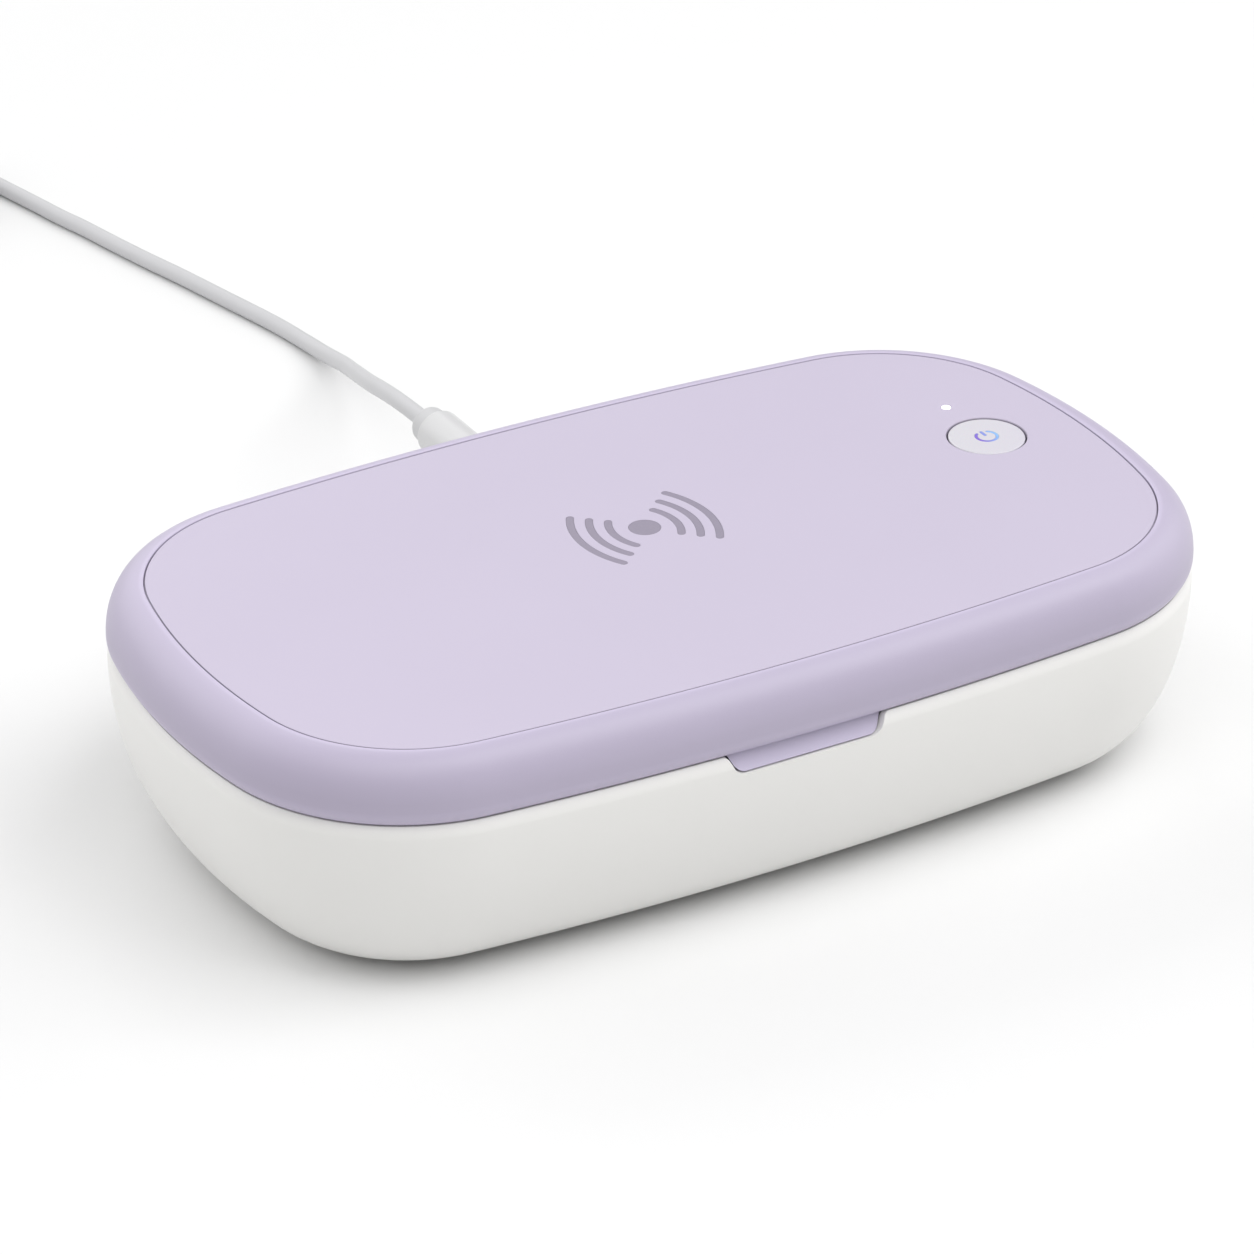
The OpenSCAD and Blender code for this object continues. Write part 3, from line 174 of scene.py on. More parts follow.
# One output of a node, with Python's arithmetic on it
class Wire:
    def __init__(self, finish, socket):
        self.finish, self.socket = finish, socket

    def worked(self, operation, first, second):
        return self.finish.node("Math", {"operation": operation}, {0: first, 1: second})

    def __add__(self, other):
        return self.worked("ADD", self, other)

    def __sub__(self, other):
        return self.worked("SUBTRACT", self, other)

    def __rsub__(self, other):
        return self.worked("SUBTRACT", other, self)

    def __mul__(self, other):
        return self.worked("MULTIPLY", self, other)

    __radd__, __rmul__ = __add__, __mul__


class Finish:
    def __init__(self, name):
        self.material = bpy.data.materials.new(name)
        self.material.use_nodes = True
        self.tree = self.material.node_tree
        self.tree.nodes.clear()
        self.surface = self.tree.nodes.new("ShaderNodeBsdfPrincipled")
        output = self.tree.nodes.new("ShaderNodeOutputMaterial")
        self.tree.links.new(self.surface.outputs[0], output.inputs[0])
        self.place = self.node("TexCoord", output="Object")

    def plug(self, target, value):
        if isinstance(value, Wire):
            self.tree.links.new(value.socket, target)
        else:
            target.default_value = (*value, 1) if target.type == "RGBA" else value

    def node(self, kind, settings=None, sockets=None, output=0):
        made = self.tree.nodes.new("ShaderNode" + kind)
        for setting, value in (settings or {}).items():
            if setting == "stops":
                for number, (place, colour) in enumerate(value):
                    ramp = made.color_ramp.elements
                    stop = ramp[number] if number < 2 else ramp.new(place)
                    stop.position, stop.color = place, (*colour, 1)
            else:
                setattr(made, setting, value)
        for socketName, value in (sockets or {}).items():
            self.plug(made.inputs[socketName], value)
        return Wire(self, made.outputs[output])

    def noise(self, scale, detail=2, roughness=0.5, place=None):
        return self.node("TexNoise", None, {"Vector": place or self.place, "Scale": scale,
                                            "Detail": detail, "Roughness": roughness})

    def cells(self, scale, output, **settings):
        return self.node("TexVoronoi", {"feature": "F1", **settings},
                         {"Vector": self.place, "Scale": scale}, output)

    def mix(self, share, first, second, blend="MIX"):
        return self.node("Mix", {"data_type": "RGBA", "blend_type": blend},
                         {0: share, 6: first, 7: second}, output=2)

    def tinted(self, share, colour, step):
        # A colour that goes from a little darker to a little lighter
        return self.mix(share, *([min(1, c * (1 + s)) for c in colour] for s in (-step, step)))

    def axis(self, letter):
        return self.node("SeparateXYZ", None, {0: self.place}, output=letter)

    def between(self, value, low, high):
        return self.node("MapRange", {"clamp": True}, {0: value, 1: low, 2: high})

    def feed(self, colour, roughness, specular=0.5, **others):
        fed = {"Base Color": colour, "Roughness": roughness, "Specular IOR Level": specular}
        for socketName, value in (fed | others).items():
            self.plug(self.surface.inputs[socketName.replace("_", " ")], value)

    def bump(self, height, distance):
        sockets = {"Strength": 1, "Distance": distance * mm, "Height": height}
        self.plug(self.surface.inputs["Normal"], self.node("Bump", None, sockets))


def moulded(finish, colour, roughness, grain, cloud, paintedLight=None):
    # Eroded-steel grain, faint flow clouds, hands' polish here and there. The last argument is
    # painted light: a list of heights, each with the share of the colour that shows there, under
    # one for painted shade and over one for a painted highlight
    tone = finish.tinted(finish.noise(22, 3), colour, cloud)
    # Painted shade and painted highlight: the colour multiplied by a share that changes with height
    if paintedLight:
        low, high = paintedLight[0][0], paintedLight[-1][0]
        height = finish.between(finish.axis("Z"), low * mm, high * mm)
        stops = [((z - low) / (high - low), (share, share, share)) for z, share in paintedLight]
        paintedLightRamp = finish.node("ValToRGB", {"stops": stops}, {0: height})
        tone = finish.mix(1, tone, paintedLightRamp, "MULTIPLY")
    spark, coarse = finish.noise(2600, 2, 0.6), finish.noise(900, 1)
    polish = finish.between(finish.noise(9, 4), 0.35, 0.75)
    finish.feed(tone, roughness + 0.05 * spark - 0.05 * polish, 0.45)
    finish.bump(spark * 0.7 + coarse * 0.3, grain)


def pearl(finish):
    # Pearl lacquer: tiny flakes under a clear coat, and painted shade that turns the cap greyer and
    # more lavender towards +X and -Y
    tint = finish.mix(0.10, (0.64, 0.628, 0.675), finish.cells(5200, "Color"), "SCREEN")
    # Painted shade: a share that grows across the cap towards +X and -Y
    across = finish.between(finish.axis("X") * 0.8 - finish.axis("Y") * 0.6, 0.055, 0.071)
    paintedShadeTint = finish.mix(0.35, tint, (0.635, 0.587, 0.712))
    finish.feed(finish.mix(across, tint, paintedShadeTint), 0.30 + 0.1 * finish.noise(1500, 1),
                Coat_Weight=0.35 + 0.05 * finish.noise(40), Coat_Roughness=0.12)
    finish.bump(finish.noise(2200, 2), 0.004)


def ink(finish, left, right, span):
    # Pad-printed ink that turns from one colour to another along X
    share = finish.between(finish.axis("X"), span[0] * mm, span[1] * mm)
    blotch = finish.noise(1800, 3, 0.6)
    colour = finish.mix(share, left, right)
    finish.feed(finish.mix(blotch * 0.10, colour, (0.75, 0.72, 0.8)), 0.42 + 0.12 * blotch, 0.4)
    finish.bump(blotch, 0.006)


def rubber(finish, colour, roughness):
    bloom = finish.noise(130, 4)
    finish.feed(finish.tinted(bloom, colour, 0.16), roughness + 0.12 * bloom, 0.35)
    finish.bump(finish.noise(3200, 3, 0.7) + bloom * 0.5, 0.02)


def metal(finish, colour, roughness, brushed):
    # Rolled or plated metal, its fine lines stretched along X
    streaks = finish.noise(4200, 3, 0.6, finish.node("Mapping", None, {
        0: finish.place, "Scale": (brushed, 1, 1)}))
    stains = finish.noise(60, 4)
    finish.feed(finish.tinted(stains, colour, 0.08), roughness + 0.12 * streaks,
                Metallic=1 - 0.04 * stains)
    finish.bump(streaks, 0.004)


def vapourCoated(finish):
    # Plastic under a vacuum-deposited bright coat, slightly waved like real moulded reflectors
    wave, mist = finish.noise(60, 1), finish.noise(110, 3)
    finish.feed(finish.mix(mist, (0.70, 0.70, 0.73), (0.80, 0.80, 0.82)), 0.24 + 0.12 * mist,
                Metallic=0.88 + 0.08 * wave)
    finish.bump(wave, 0.08)


def circuitBoard(finish):
    # Solder mask over traces: squared-off cells read as copper runs under the green
    runs = finish.node("TexBrick", {"offset": 0.5}, {
        "Vector": finish.place, "Scale": 260, "Mortar Size": 0.03, "Mortar Smooth": 0.3,
        "Color1": (0.012, 0.10, 0.045), "Color2": (0.015, 0.12, 0.055),
        "Mortar": (0.045, 0.24, 0.10)})
    finish.feed(runs, 0.28 + 0.15 * finish.noise(600, 3))
    finish.bump(finish.noise(1400, 2), 0.01)


def quartz(finish):
    haze = finish.noise(900, 3)
    finish.feed(finish.mix(haze, (0.92, 0.95, 0.99), (0.97, 0.98, 1)), 0.02 + 0.06 * haze,
                IOR=1.46, Transmission_Weight=1)


def lampChip(finish):
    # Ceramic package with its yellowish emitter in the middle of every chip
    wafer = finish.cells(700, "Distance", distance="CHEBYCHEV")
    finish.feed(finish.mix(wafer, (0.75, 0.62, 0.22), (0.86, 0.82, 0.66)), 0.25 + 0.2 * wafer)


def windingCopper(finish):
    # Enamelled litz wire: fine rings about the winding's own middle
    centred = finish.node("Mapping", None, {0: finish.place, "Location": (0, -0.005, 0)})
    rings = finish.node("TexWave", {"wave_type": "RINGS", "rings_direction": "Z"},
                        {"Vector": centred, "Scale": 230, "Distortion": 0.4}, "Color")
    finish.feed(finish.mix(rings, (0.42, 0.14, 0.05), (0.86, 0.42, 0.20)),
                0.3 + 0.2 * finish.noise(2000, 2), Metallic=0.9)
    finish.bump(rings, 0.05)


def jacket(finish, colour):
    # Soft extruded jacket: long lazy streaks, a little bloom, a matt skin
    bloom = finish.noise(85, 4)
    finish.feed(finish.tinted(bloom, colour, 0.035), 0.42 + 0.12 * bloom, 0.4)
    finish.bump(finish.noise(2400, 3, 0.6), 0.012)


def hookTape(finish):
    # Hook-and-loop tape: a felt of tiny hooks in rows
    hooks, fuzz = finish.cells(1500, "Distance"), finish.noise(3000, 4, 0.7)
    finish.feed(finish.mix(hooks + 0.3 * fuzz, (0.20, 0.20, 0.21), (0.07, 0.07, 0.075)),
                0.85 + 0.1 * fuzz, 0.2, Sheen_Weight=0.4)
    finish.bump(hooks + fuzz * 0.5, 0.15)


def litLens(finish):
    glow = finish.noise(1500, 2)
    finish.feed(finish.mix(glow, (0.88, 0.88, 0.9), (0.95, 0.95, 0.97)), 0.2 + 0.1 * glow,
                Emission_Color=finish.mix(glow, (0.92, 0.95, 1), (1, 1, 1)), Emission_Strength=0.85)


# Each slot's finish and its values: for moulded plastic the colour, the roughness, the grain
# in millimetres, the strength of the clouds and, on the lid, the painted shade and highlight by
# height
recipes = {
    "base_white": (moulded, (0.826, 0.82, 0.80), 0.36, 0.010, 0.012),
    # Painted shade: the lid's sides darker below the shoulder, most at 43 to 45 mm up, lighter
    # again at the lower edge; a painted highlight along the rim's top
    "lid_lavender": (moulded, (0.507, 0.459, 0.593), 0.42, 0.012, 0.018,
                     [(40.4, 1), (42, 0.98), (43.2, 0.885), (45, 0.87), (50, 0.943), (52.5, 0.98),
                      (52.94, 1), (53, 1.13)]),
    # Painted shade in the groove: the panel darker over its rounded edge and ledge, below its top
    # face
    "panel_lavender": (moulded, (0.542, 0.493, 0.616), 0.48, 0.016, 0.018,
                       [(52.8, 0.68), (52.93, 1)]),
    "liner_lavender": (moulded, (0.53, 0.485, 0.625), 0.40, 0.012, 0.015),
    "plug_plastic": (moulded, (0.63, 0.63, 0.635), 0.33, 0.006, 0.01),
    "relief_plastic": (moulded, (0.57, 0.57, 0.58), 0.45, 0.008, 0.02),
    "chip_black": (moulded, (0.018, 0.018, 0.02), 0.5, 0.012, 0.1),
    "ferrite": (moulded, (0.05, 0.048, 0.046), 0.6, 0.02, 0.15),
    "button_pearl": (pearl,),
    "symbol_ink": (ink, (0.274, 0.244, 0.317), (0.265, 0.237, 0.31), (-22, 22)),
    "button_ink": (ink, (0.20, 0.11, 0.62), (0.24, 0.50, 0.85), (79.5, 84)),
    "tray_silver": (vapourCoated,),
    "rubber_grey": (rubber, (0.16, 0.16, 0.17), 0.62),
    "seal_silicone": (rubber, (0.22, 0.22, 0.235), 0.52),
    "rail_silicone": (rubber, (0.62, 0.63, 0.66), 0.45),
    "steel": (metal, (0.60, 0.60, 0.62), 0.22, 0.06),
    "nickel": (metal, (0.66, 0.65, 0.62), 0.20, 0.2),
    "board_green": (circuitBoard,),
    "lamp_chip": (lampChip,),
    "clear_window": (quartz,),
    "copper": (windingCopper,),
    "harness_black": (jacket, (0.02, 0.02, 0.022)),
    "cord_jacket": (jacket, (0.57, 0.57, 0.583)),
    "tie_grey": (hookTape,),
    "lit_lens": (litLens,),
}
finishes = {}
for slotName, (recipe, *values) in recipes.items():
    mixed = Finish(slotName)
    recipe(mixed, *values)
    finishes[slotName] = mixed.material
print("finishes mixed:", len(finishes))


# Modelling by hand: primitives, extrusions from ring to ring, and cuts
def flat(points, height):
    return [(x, y, height) for x, y in points]


def laid(direction, a, b, along):
    # Two measures across a direction and one along it, put in the order X, Y, Z
    return {"X": (along, a, b), "Y": (a, along, b), "Z": (a, b, along)}[direction]


def circle(radius, centre=(0, 0), steps=64):
    return [onCircle(centre, radius, 360 * i / steps) for i in range(steps)]


def setRing(piece, ring):
    editing = bmesh.from_edit_mesh(piece.data)
    order = editing.verts.layers.int["order"]
    for vertex in editing.verts:
        if vertex.select:
            vertex.co = ring[vertex[order]]
    bmesh.update_edit_mesh(piece.data)


def loft(rings, capped=True):
    # A circle is set on the first ring and extruded to each of the others
    bpy.ops.object.select_all(action="DESELECT")
    fill = "NGON" if capped else "NOTHING"
    bpy.ops.mesh.primitive_circle_add(vertices=len(rings[0]), fill_type=fill)
    piece = bpy.context.object
    bpy.ops.object.mode_set(mode="EDIT")
    editing = bmesh.from_edit_mesh(piece.data)
    order = editing.verts.layers.int.new("order")
    for number, vertex in enumerate(editing.verts):
        vertex[order] = number
    setRing(piece, rings[0])
    extrude = bpy.ops.mesh.extrude_region_move if capped else bpy.ops.mesh.extrude_edges_move
    for ring in rings[1:]:
        extrude()
        setRing(piece, ring)
    if not capped:
        editing = bmesh.from_edit_mesh(piece.data)
        bpy.ops.mesh.select_mode(type="EDGE")
        for edge in editing.edges:
            edge.select_set(edge.is_boundary)
        bmesh.update_edit_mesh(piece.data)
        bpy.ops.mesh.bridge_edge_loops()
        bpy.ops.mesh.select_mode(type="VERT")
    bpy.ops.mesh.select_all(action="SELECT")
    bpy.ops.mesh.normals_make_consistent()
    bpy.ops.object.mode_set(mode="OBJECT")
    piece.data.attributes.remove(piece.data.attributes["order"])
    return piece


def loftOf(ring, levels, capped=True):
    # Rings of one kind, each with its inset and its height
    return loft([ring(*level) for level in levels], capped)


def prism(outline, low, high, direction="Z"):
    return loft([[laid(direction, a, b, at) for a, b in outline] for at in (low, high)])


def turned(profile, place=(0, 0, 0), direction="Z", steps=64):
    # A profile of (radius, distance) pairs, turned about an axis through the place
    return loft([[tuple(map(sum, zip(place, laid(direction, a, b, distance))))
                  for a, b in circle(radius, steps=steps)] for radius, distance in profile])


def turnedAt(places, profile, direction="Z", steps=64):
    return [turned(profile, place, direction, steps) for place in places]


def rod(radius, low, high):
    # The profile of a plain rod or hole
    return [(radius, low), (radius, high)]


def block(low, high):
    bpy.ops.object.select_all(action="DESELECT")
    centre, size = zip(*(((a + b) / 2, b - a) for a, b in zip(low, high)))
    bpy.ops.mesh.primitive_cube_add(size=1, location=centre, scale=size)
    bpy.ops.object.transform_apply()
    return bpy.context.object


def join(pieces):
    choose(pieces[0])
    for piece in pieces[1:]:
        piece.select_set(True)
    bpy.ops.object.join()
    return bpy.context.object


def modify(piece, kind, **settings):
    change = piece.modifiers.new("change", kind)
    for setting, value in settings.items():
        setattr(change, setting, value)
    choose(piece)
    bpy.ops.object.modifier_apply(modifier=change.name)


def combine(piece, others, operation):
    # Cuts the others from the piece, adds them to it or keeps what they share
    for other in others:
        modify(piece, "BOOLEAN", operation=operation, object=other, solver="MANIFOLD")
        bpy.data.objects.remove(other)
    return piece


def cut(piece, *cutters):
    return combine(piece, cutters, "DIFFERENCE")


def add(piece, *others):
    return combine(piece, others, "UNION")


def settle(piece, name, body, look, node, sharpness=35):
    # From millimetres to the frame's metres, smooth but for its edges, riding on its body
    piece.name = piece.data.name = name
    choose(piece)
    piece.scale = (mm, mm, mm)
    bpy.ops.object.transform_apply()
    bpy.ops.object.shade_smooth_by_angle(angle=math.radians(sharpness))
    modify(piece, "WEIGHTED_NORMAL", keep_sharp=True)
    piece.data.materials.clear()
    piece.data.materials.append(finishes[look])
    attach(piece, body)
    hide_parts(node)


def quarter(size, steps):
    # A quarter round: how far in, which grows, and how far short of its end, which shrinks
    turns = [math.radians(90 * i / steps) for i in range(steps + 1)]
    return [(size * (1 - math.cos(turn)), size * (1 - math.sin(turn))) for turn in turns]


def roundedPath(corners, steps=8):
    # An outline whose corners (x, y, radius) are rounded by arcs
    path = []
    for number, (x, y, radius) in enumerate(corners):
        if radius == 0:
            path.append((x, y))
            continue
        here = Vector((x, y))
        before = (Vector(corners[number - 1][:2]) - here).normalized()
        after = (Vector(corners[(number + 1) % len(corners)][:2]) - here).normalized()
        half = before.angle(after) / 2
        reach = radius / math.tan(half)
        middle = here + (before + after).normalized() * (radius / math.sin(half))
        start, end = here + before * reach - middle, here + after * reach - middle
        turn = start.angle_signed(end)
        for i in range(steps + 1):
            angle = math.atan2(start.y, start.x) - turn * i / steps
            path.append((middle.x + radius * math.cos(angle), middle.y + radius * math.sin(angle)))
    return path


def roundedBox(width, height, corner, steps=6):
    w, h = width / 2, height / 2
    return roundedPath([(-w, -h, corner), (w, -h, corner), (w, h, corner), (-w, h, corner)], steps)


def fourWays(spec):
    return [(sx * spec["x"], sy * spec["y"], 0) for sx in (-1, 1) for sy in (-1, 1)]


# The body's outline, seen from above: eight arcs, each tangent to the next
body = {"length": 220, "width": 127, "cornerR": 42, "endR": 140, "sideR": 775,
        "cornerSteps": 36, "endSteps": 24, "sideSteps": 40}
front, back = -body["width"] / 2, body["width"] / 2


def outlineOf(insetX, insetY, inset):
    # Inset at the ends and at the long sides, and by as much again all round
    length, width, cornerR, endR, sideR = pick(body, "length width cornerR endR sideR")
    length, width = length - 2 * (insetX + inset), width - 2 * (insetY + inset)
    cornerR, endR, sideR = cornerR - insetX - inset, endR - inset, sideR - inset
    end, side = Vector((length / 2 - endR, 0)), Vector((0, width / 2 - sideR))
    toEnd, toSide, apart = endR - cornerR, sideR - cornerR, (side - end).length
    along = (toEnd ** 2 - toSide ** 2 + apart ** 2) / (2 * apart)
    aside = math.sqrt(toEnd ** 2 - along ** 2)
    way = (side - end) / apart
    corner = end + along * way + aside * Vector((-way.y, way.x))
    endTurn = math.degrees(math.atan2(corner.y, corner.x - end.x))
    sideTurn = math.degrees(math.atan2(corner.y - side.y, corner.x))
    arcs = [(end, endR, -endTurn, endTurn, "endSteps"),
            (corner, cornerR, endTurn, sideTurn, "cornerSteps"),
            (side, sideR, sideTurn, 180 - sideTurn, "sideSteps"),
            (Vector((-corner.x, corner.y)), cornerR, 180 - sideTurn, 180 - endTurn, "cornerSteps")]
    half = [onCircle(centre, radius, first + (last - first) * i / body[steps])
            for centre, radius, first, last, steps in arcs for i in range(body[steps])]
    return half + [(-x, -y) for x, y in half]


def bodyRing(inset, height=0):
    return flat(outlineOf(0, 0, inset), height)


casing = {
    "partingZ": 40, "gap": 0.4, "baseZ": 1, "lidH": 13, "wall": 2.2, "tuck": 20.5,
    "baseCurve": 2.2, "lidCurve": 2.1, "edgeTurn": 1.2, "edgeH": 2.6, "edgeSoft": 0.25,
    "flankSteps": 34, "edgeSteps": 6, "innerSteps": 12,
}
partingZ = casing["partingZ"]
rimZ, lidZ = partingZ - casing["gap"] / 2, partingZ + casing["gap"] / 2
topZ = partingZ + casing["lidH"]
hinge = {"x": 44, "y": back - 3, "barrelR": 2.8, "length": 26, "lidBarrel": 9.6, "soft": 0.2,
         "gap": 0.4, "pinR": 1.03, "relief": 50, "lead": 0.4, "reach": 12,
         "webBack": 0.9, "webDrop": 9, "webRise": 6, "leadR": 1.4, "leadReach": 16}
hingePlaces = [(side * hinge["x"], hinge["y"], partingZ) for side in (-1, 1)]
tab = {"x": -3, "width": 35.3, "floorWidth": 31.4, "height": 4.2, "cornerR": 3, "flare": 1.5,
       "thickness": 1.5, "lip": 2.1, "scoopR": 11, "steps": 10, "notchRise": 9, "notchDeep": 6,
       "shave": (60, 5, 0.1), "soft": 0.22, "softSteps": 3, "softAngle": 38}
tabFace = front + casing["wall"] + casing["gap"]
foot = {"x": 72, "y": 28, "radius": 6.5, "height": 1.8, "gap": 0.2, "soft": 0.45, "edge": 0.1,
        "hollow": [(0.55, 0.25), (0.7, 0)], "postR": 4, "postZ": 6, "screwR": 1.6, "headR": 2.6,
        "seatZ": 4}
plug = {"at": (5, 61.5, 30), "radius": 5.2, "length": 42, "soft": 1, "edge": 0.15, "gap": 0.5,
        "seatDepth": 8, "reliefR": 4.15, "reliefLength": 5, "reliefSoft": 1.6,
        "tongue": (8.2, 2.4), "room": 0.4, "slotReach": (8, 4)}


def flankShare(rise, power):
    return 1 - (1 - min(1, rise) ** power) ** (1 / power)


def baseInset(z):
    fall = (partingZ - z) / (partingZ - casing["baseZ"])
    turn = max(0, 1 - (rimZ - z) / casing["edgeH"])
    return casing["tuck"] * flankShare(fall, casing["baseCurve"]) + casing["edgeTurn"] * turn ** 2


def baseInnerInset(z):
    wall, tuck = casing["wall"], casing["tuck"]
    fall = (partingZ - z) / (partingZ - casing["baseZ"] - wall)
    return wall + (tuck - wall) * flankShare(fall, casing["baseCurve"])


def easedHeights(low, high, steps):
    return [low + more for more, _ in quarter(high - low, steps)]


def hingeCuts():
    # The relief behind the hinge line, the barrels' room and the harness's channel
    apex, reach, z = hinge["y"] - hinge["lead"], hinge["reach"], partingZ
    drop, end = reach * math.tan(math.radians(hinge["relief"])), body["length"] / 2
    wedge = prism([(apex, z), (apex + reach, z - drop), (apex + reach, z + drop)], -end, end, "X")
    room, half = hinge["barrelR"] + hinge["gap"], hinge["length"] / 2 + hinge["gap"]
    channel = turned(rod(hinge["leadR"], -hinge["leadReach"], hinge["leadReach"]),
                     (0, hinge["y"], z), "X", steps=24)
    return [wedge, *turnedAt(hingePlaces, rod(room, -half, half), "X"), channel]


def hingeBarrel(place, start, end, low, high):
    # A barrel and its web, from one place along the hinge line to another
    x, y, z = place
    radius, soft, webBack = pick(hinge, "barrelR soft webBack")
    barrel = turned([(radius - soft, start), *rod(radius, start + soft, end - soft),
                     (radius - soft, end)], place, "X", steps=48)
    return add(barrel, block((x + start, y - radius, z + low), (x + end, y + webBack, z + high)))


def pinHoles(reach):
    return turnedAt(hingePlaces, rod(hinge["pinR"], -reach, reach), "X", steps=24)


def hingeFront(spec):
    return hinge["y"] - hinge["barrelR"] - spec["front"]


def hingeWindows(spec, low, high):
    half = hinge["length"] / 2 + spec["side"]
    return [block((x - half, hingeFront(spec), low), (x + half, back + over, high))
            for x, _, _ in hingePlaces]


def notchOutline(shrink):
    # The notch for the finger tab, seen from the front, open at the top
    half, floorHalf = tab["width"] / 2, tab["floorWidth"] / 2
    low, top = partingZ - tab["height"], partingZ + tab["notchRise"]
    rise = (half - floorHalf) / (rimZ - low)
    shift = shrink * rise - shrink / math.cos(math.atan(rise))
    right = [(2 * tab["width"], top, 0), (2 * tab["width"], rimZ + shrink, 0),
             (half + shift, rimZ + shrink, tab["flare"] + shrink),
             (floorHalf + shift, low + shrink, tab["cornerR"] - shrink)]
    left = [(-x, y, radius) for x, y, radius in reversed(right)]
    return [(tab["x"] + x, y) for x, y in roundedPath(right + left, tab["steps"])]


def makeBase():
    wall, soft, low, edgeH, steps = pick(casing, "wall edgeSoft baseZ edgeH edgeSteps")
    heights = easedHeights(low, rimZ - edgeH, casing["flankSteps"])
    heights += [rimZ - edgeH * (1 - i / steps) for i in range(1, steps + 1)]
    inner = easedHeights(low + wall, rimZ - edgeH, casing["innerSteps"])
    levels = [(baseInset(z), z) for z in heights] + [(wall - soft, rimZ), (wall, rimZ - soft)]
    base = loftOf(bodyRing, levels + [(baseInnerInset(z), z) for z in reversed(inner)])
    deep = tab["notchDeep"]
    cut(base, *hingeCuts(), prism(notchOutline(0), front - deep, front + deep, "Y"))
    postR, postZ, headR, screwR, seatZ, height = pick(foot, "postR postZ headR screwR seatZ height")
    start, end = hinge["lidBarrel"] / 2 + hinge["gap"], hinge["length"] / 2
    add(base, *turnedAt(fourWays(foot), rod(postR, low + over, postZ), steps=32),
        *[hingeBarrel(place, *span, -hinge["webDrop"], 0)
          for place in hingePlaces for span in ((start, end), (-end, -start))])
    footSeat = [*rod(foot["radius"] + foot["gap"], -over, height), *rod(headR, height, seatZ),
                *rod(screwR, seatZ, postZ + over)]
    (x, y, z), (inwards, outwards) = plug["at"], plug["slotReach"]
    halfW, halfH = (size / 2 + plug["room"] for size in plug["tongue"])
    cut(base, *turnedAt(fourWays(foot), footSeat, steps=48), *pinHoles(end + over),
        turned(rod(plug["radius"] + plug["gap"], 0, plug["seatDepth"]), plug["at"], "Y"),
        block((x - halfW, y - inwards, z - halfH), (x + halfW, y + outwards, z + halfH)))
    settle(base, "base_casing", "base", "base_white", "base_shell")


makeBase()
print("base casing made")

# Lid casing with its shoulder and the recess for the top panel
panel = {"insetX": 8.6, "insetY": 7.3, "gap": 0.3, "drop": 0.06, "soft": 0.16, "softSteps": 4,
         "ledge": 0.18, "ledgeDrop": 0.4, "ledgeSoft": 0.05, "seat": 2, "holeSoft": 0.18}
panelZ, deckZ = topZ - panel["drop"], topZ - panel["seat"]
lidCover = {"deckT": 1.6, "shoulderSteps": 34, "innerSteps": 8, "rimSoft": 0.18, "rimSteps": 4}
ceilingZ = deckZ - lidCover["deckT"]
button = {"x": 81.5, "y": 5, "radius": 8, "gap": 0.35, "top": 52.85, "soft": 0.35, "softSteps": 4,
          "collarR": 9.2, "collarT": 0.7, "play": 0.3}
lens = {"y": 20.4, "radius": 1, "gap": 0.1, "flangeR": 1.6, "flangeT": 0.8, "play": 0.02,
        "crown": [(1, 0.1), (0.92, 0.03), (0.5, 0)]}
buttonPlace, lensPlace = (button["x"], button["y"], 0), (button["x"], lens["y"], 0)
openings = ((button["radius"] + button["gap"], buttonPlace, {"lid": 64, "panel": 96}),
            (lens["radius"] + lens["gap"], lensPlace, {"lid": 32, "panel": 32}))


def panelRing(inset, height=0):
    return flat(outlineOf(panel["insetX"], panel["insetY"], inset), height)


def makeLid():
    wall, soft, turn, steps, edgeH = pick(casing, "wall edgeSoft edgeTurn edgeSteps edgeH")
    inner, flank, rimSoft, rimSteps = pick(lidCover, "innerSteps shoulderSteps rimSoft rimSteps")
    gap, shoulderZ = panel["gap"], partingZ + edgeH
    rise = topZ - shoulderZ

    def shoulderRing(lowInset, highInset, up):
        # Between the body's outline and the panel's
        share = flankShare(up, casing["lidCurve"])
        return [(a * (1 - share) + c * share, b * (1 - share) + d * share, shoulderZ + rise * up)
                for (a, b, _), (c, d, _) in zip(bodyRing(lowInset), panelRing(highInset))]
    rings = [shoulderRing(wall, wall - gap, (ceilingZ - shoulderZ) * i / inner / rise)
             for i in range(inner, -1, -1)]
    rings += [bodyRing(wall, lidZ + soft), bodyRing(wall - soft, lidZ)]
    rings += [bodyRing(turn * (1 - i / steps) ** 2, lidZ + (shoulderZ - lidZ) * i / steps)
              for i in range(steps + 1)]
    rings += [shoulderRing(0, -gap - rimSoft, math.sin(math.radians(90 * i / flank)))
              for i in range(1, flank)]
    rings += [panelRing(-gap - less, topZ - more) for more, less in quarter(rimSoft, rimSteps)]
    lid = loft(rings + [panelRing(-gap, deckZ)])
    cut(lid, *hingeCuts())
    half = hinge["lidBarrel"] / 2
    add(lid, *[hingeBarrel(place, -half, half, 0, hinge["webRise"]) for place in hingePlaces])
    cut(lid, *pinHoles(half + over),
        *[turned(rod(radius, ceilingZ - over, topZ), place, steps=counts["lid"])
          for radius, place, counts in openings])
    settle(lid, "lid_casing", "lid", "lid_lavender", "lid_shell")


makeLid()
print("lid casing made")

# Top panel with its inlaid wireless charging sign
sign = {"dot": 6.5, "reach": 6.8, "step": 3.65, "radius": 10.9, "grow": 4.95, "half": 31.5,
        "arcs": 3, "stroke": 1.55, "depth": 0.3, "gap": 0.05, "soft": 0.03, "steps": 28,
        "capSteps": 10}


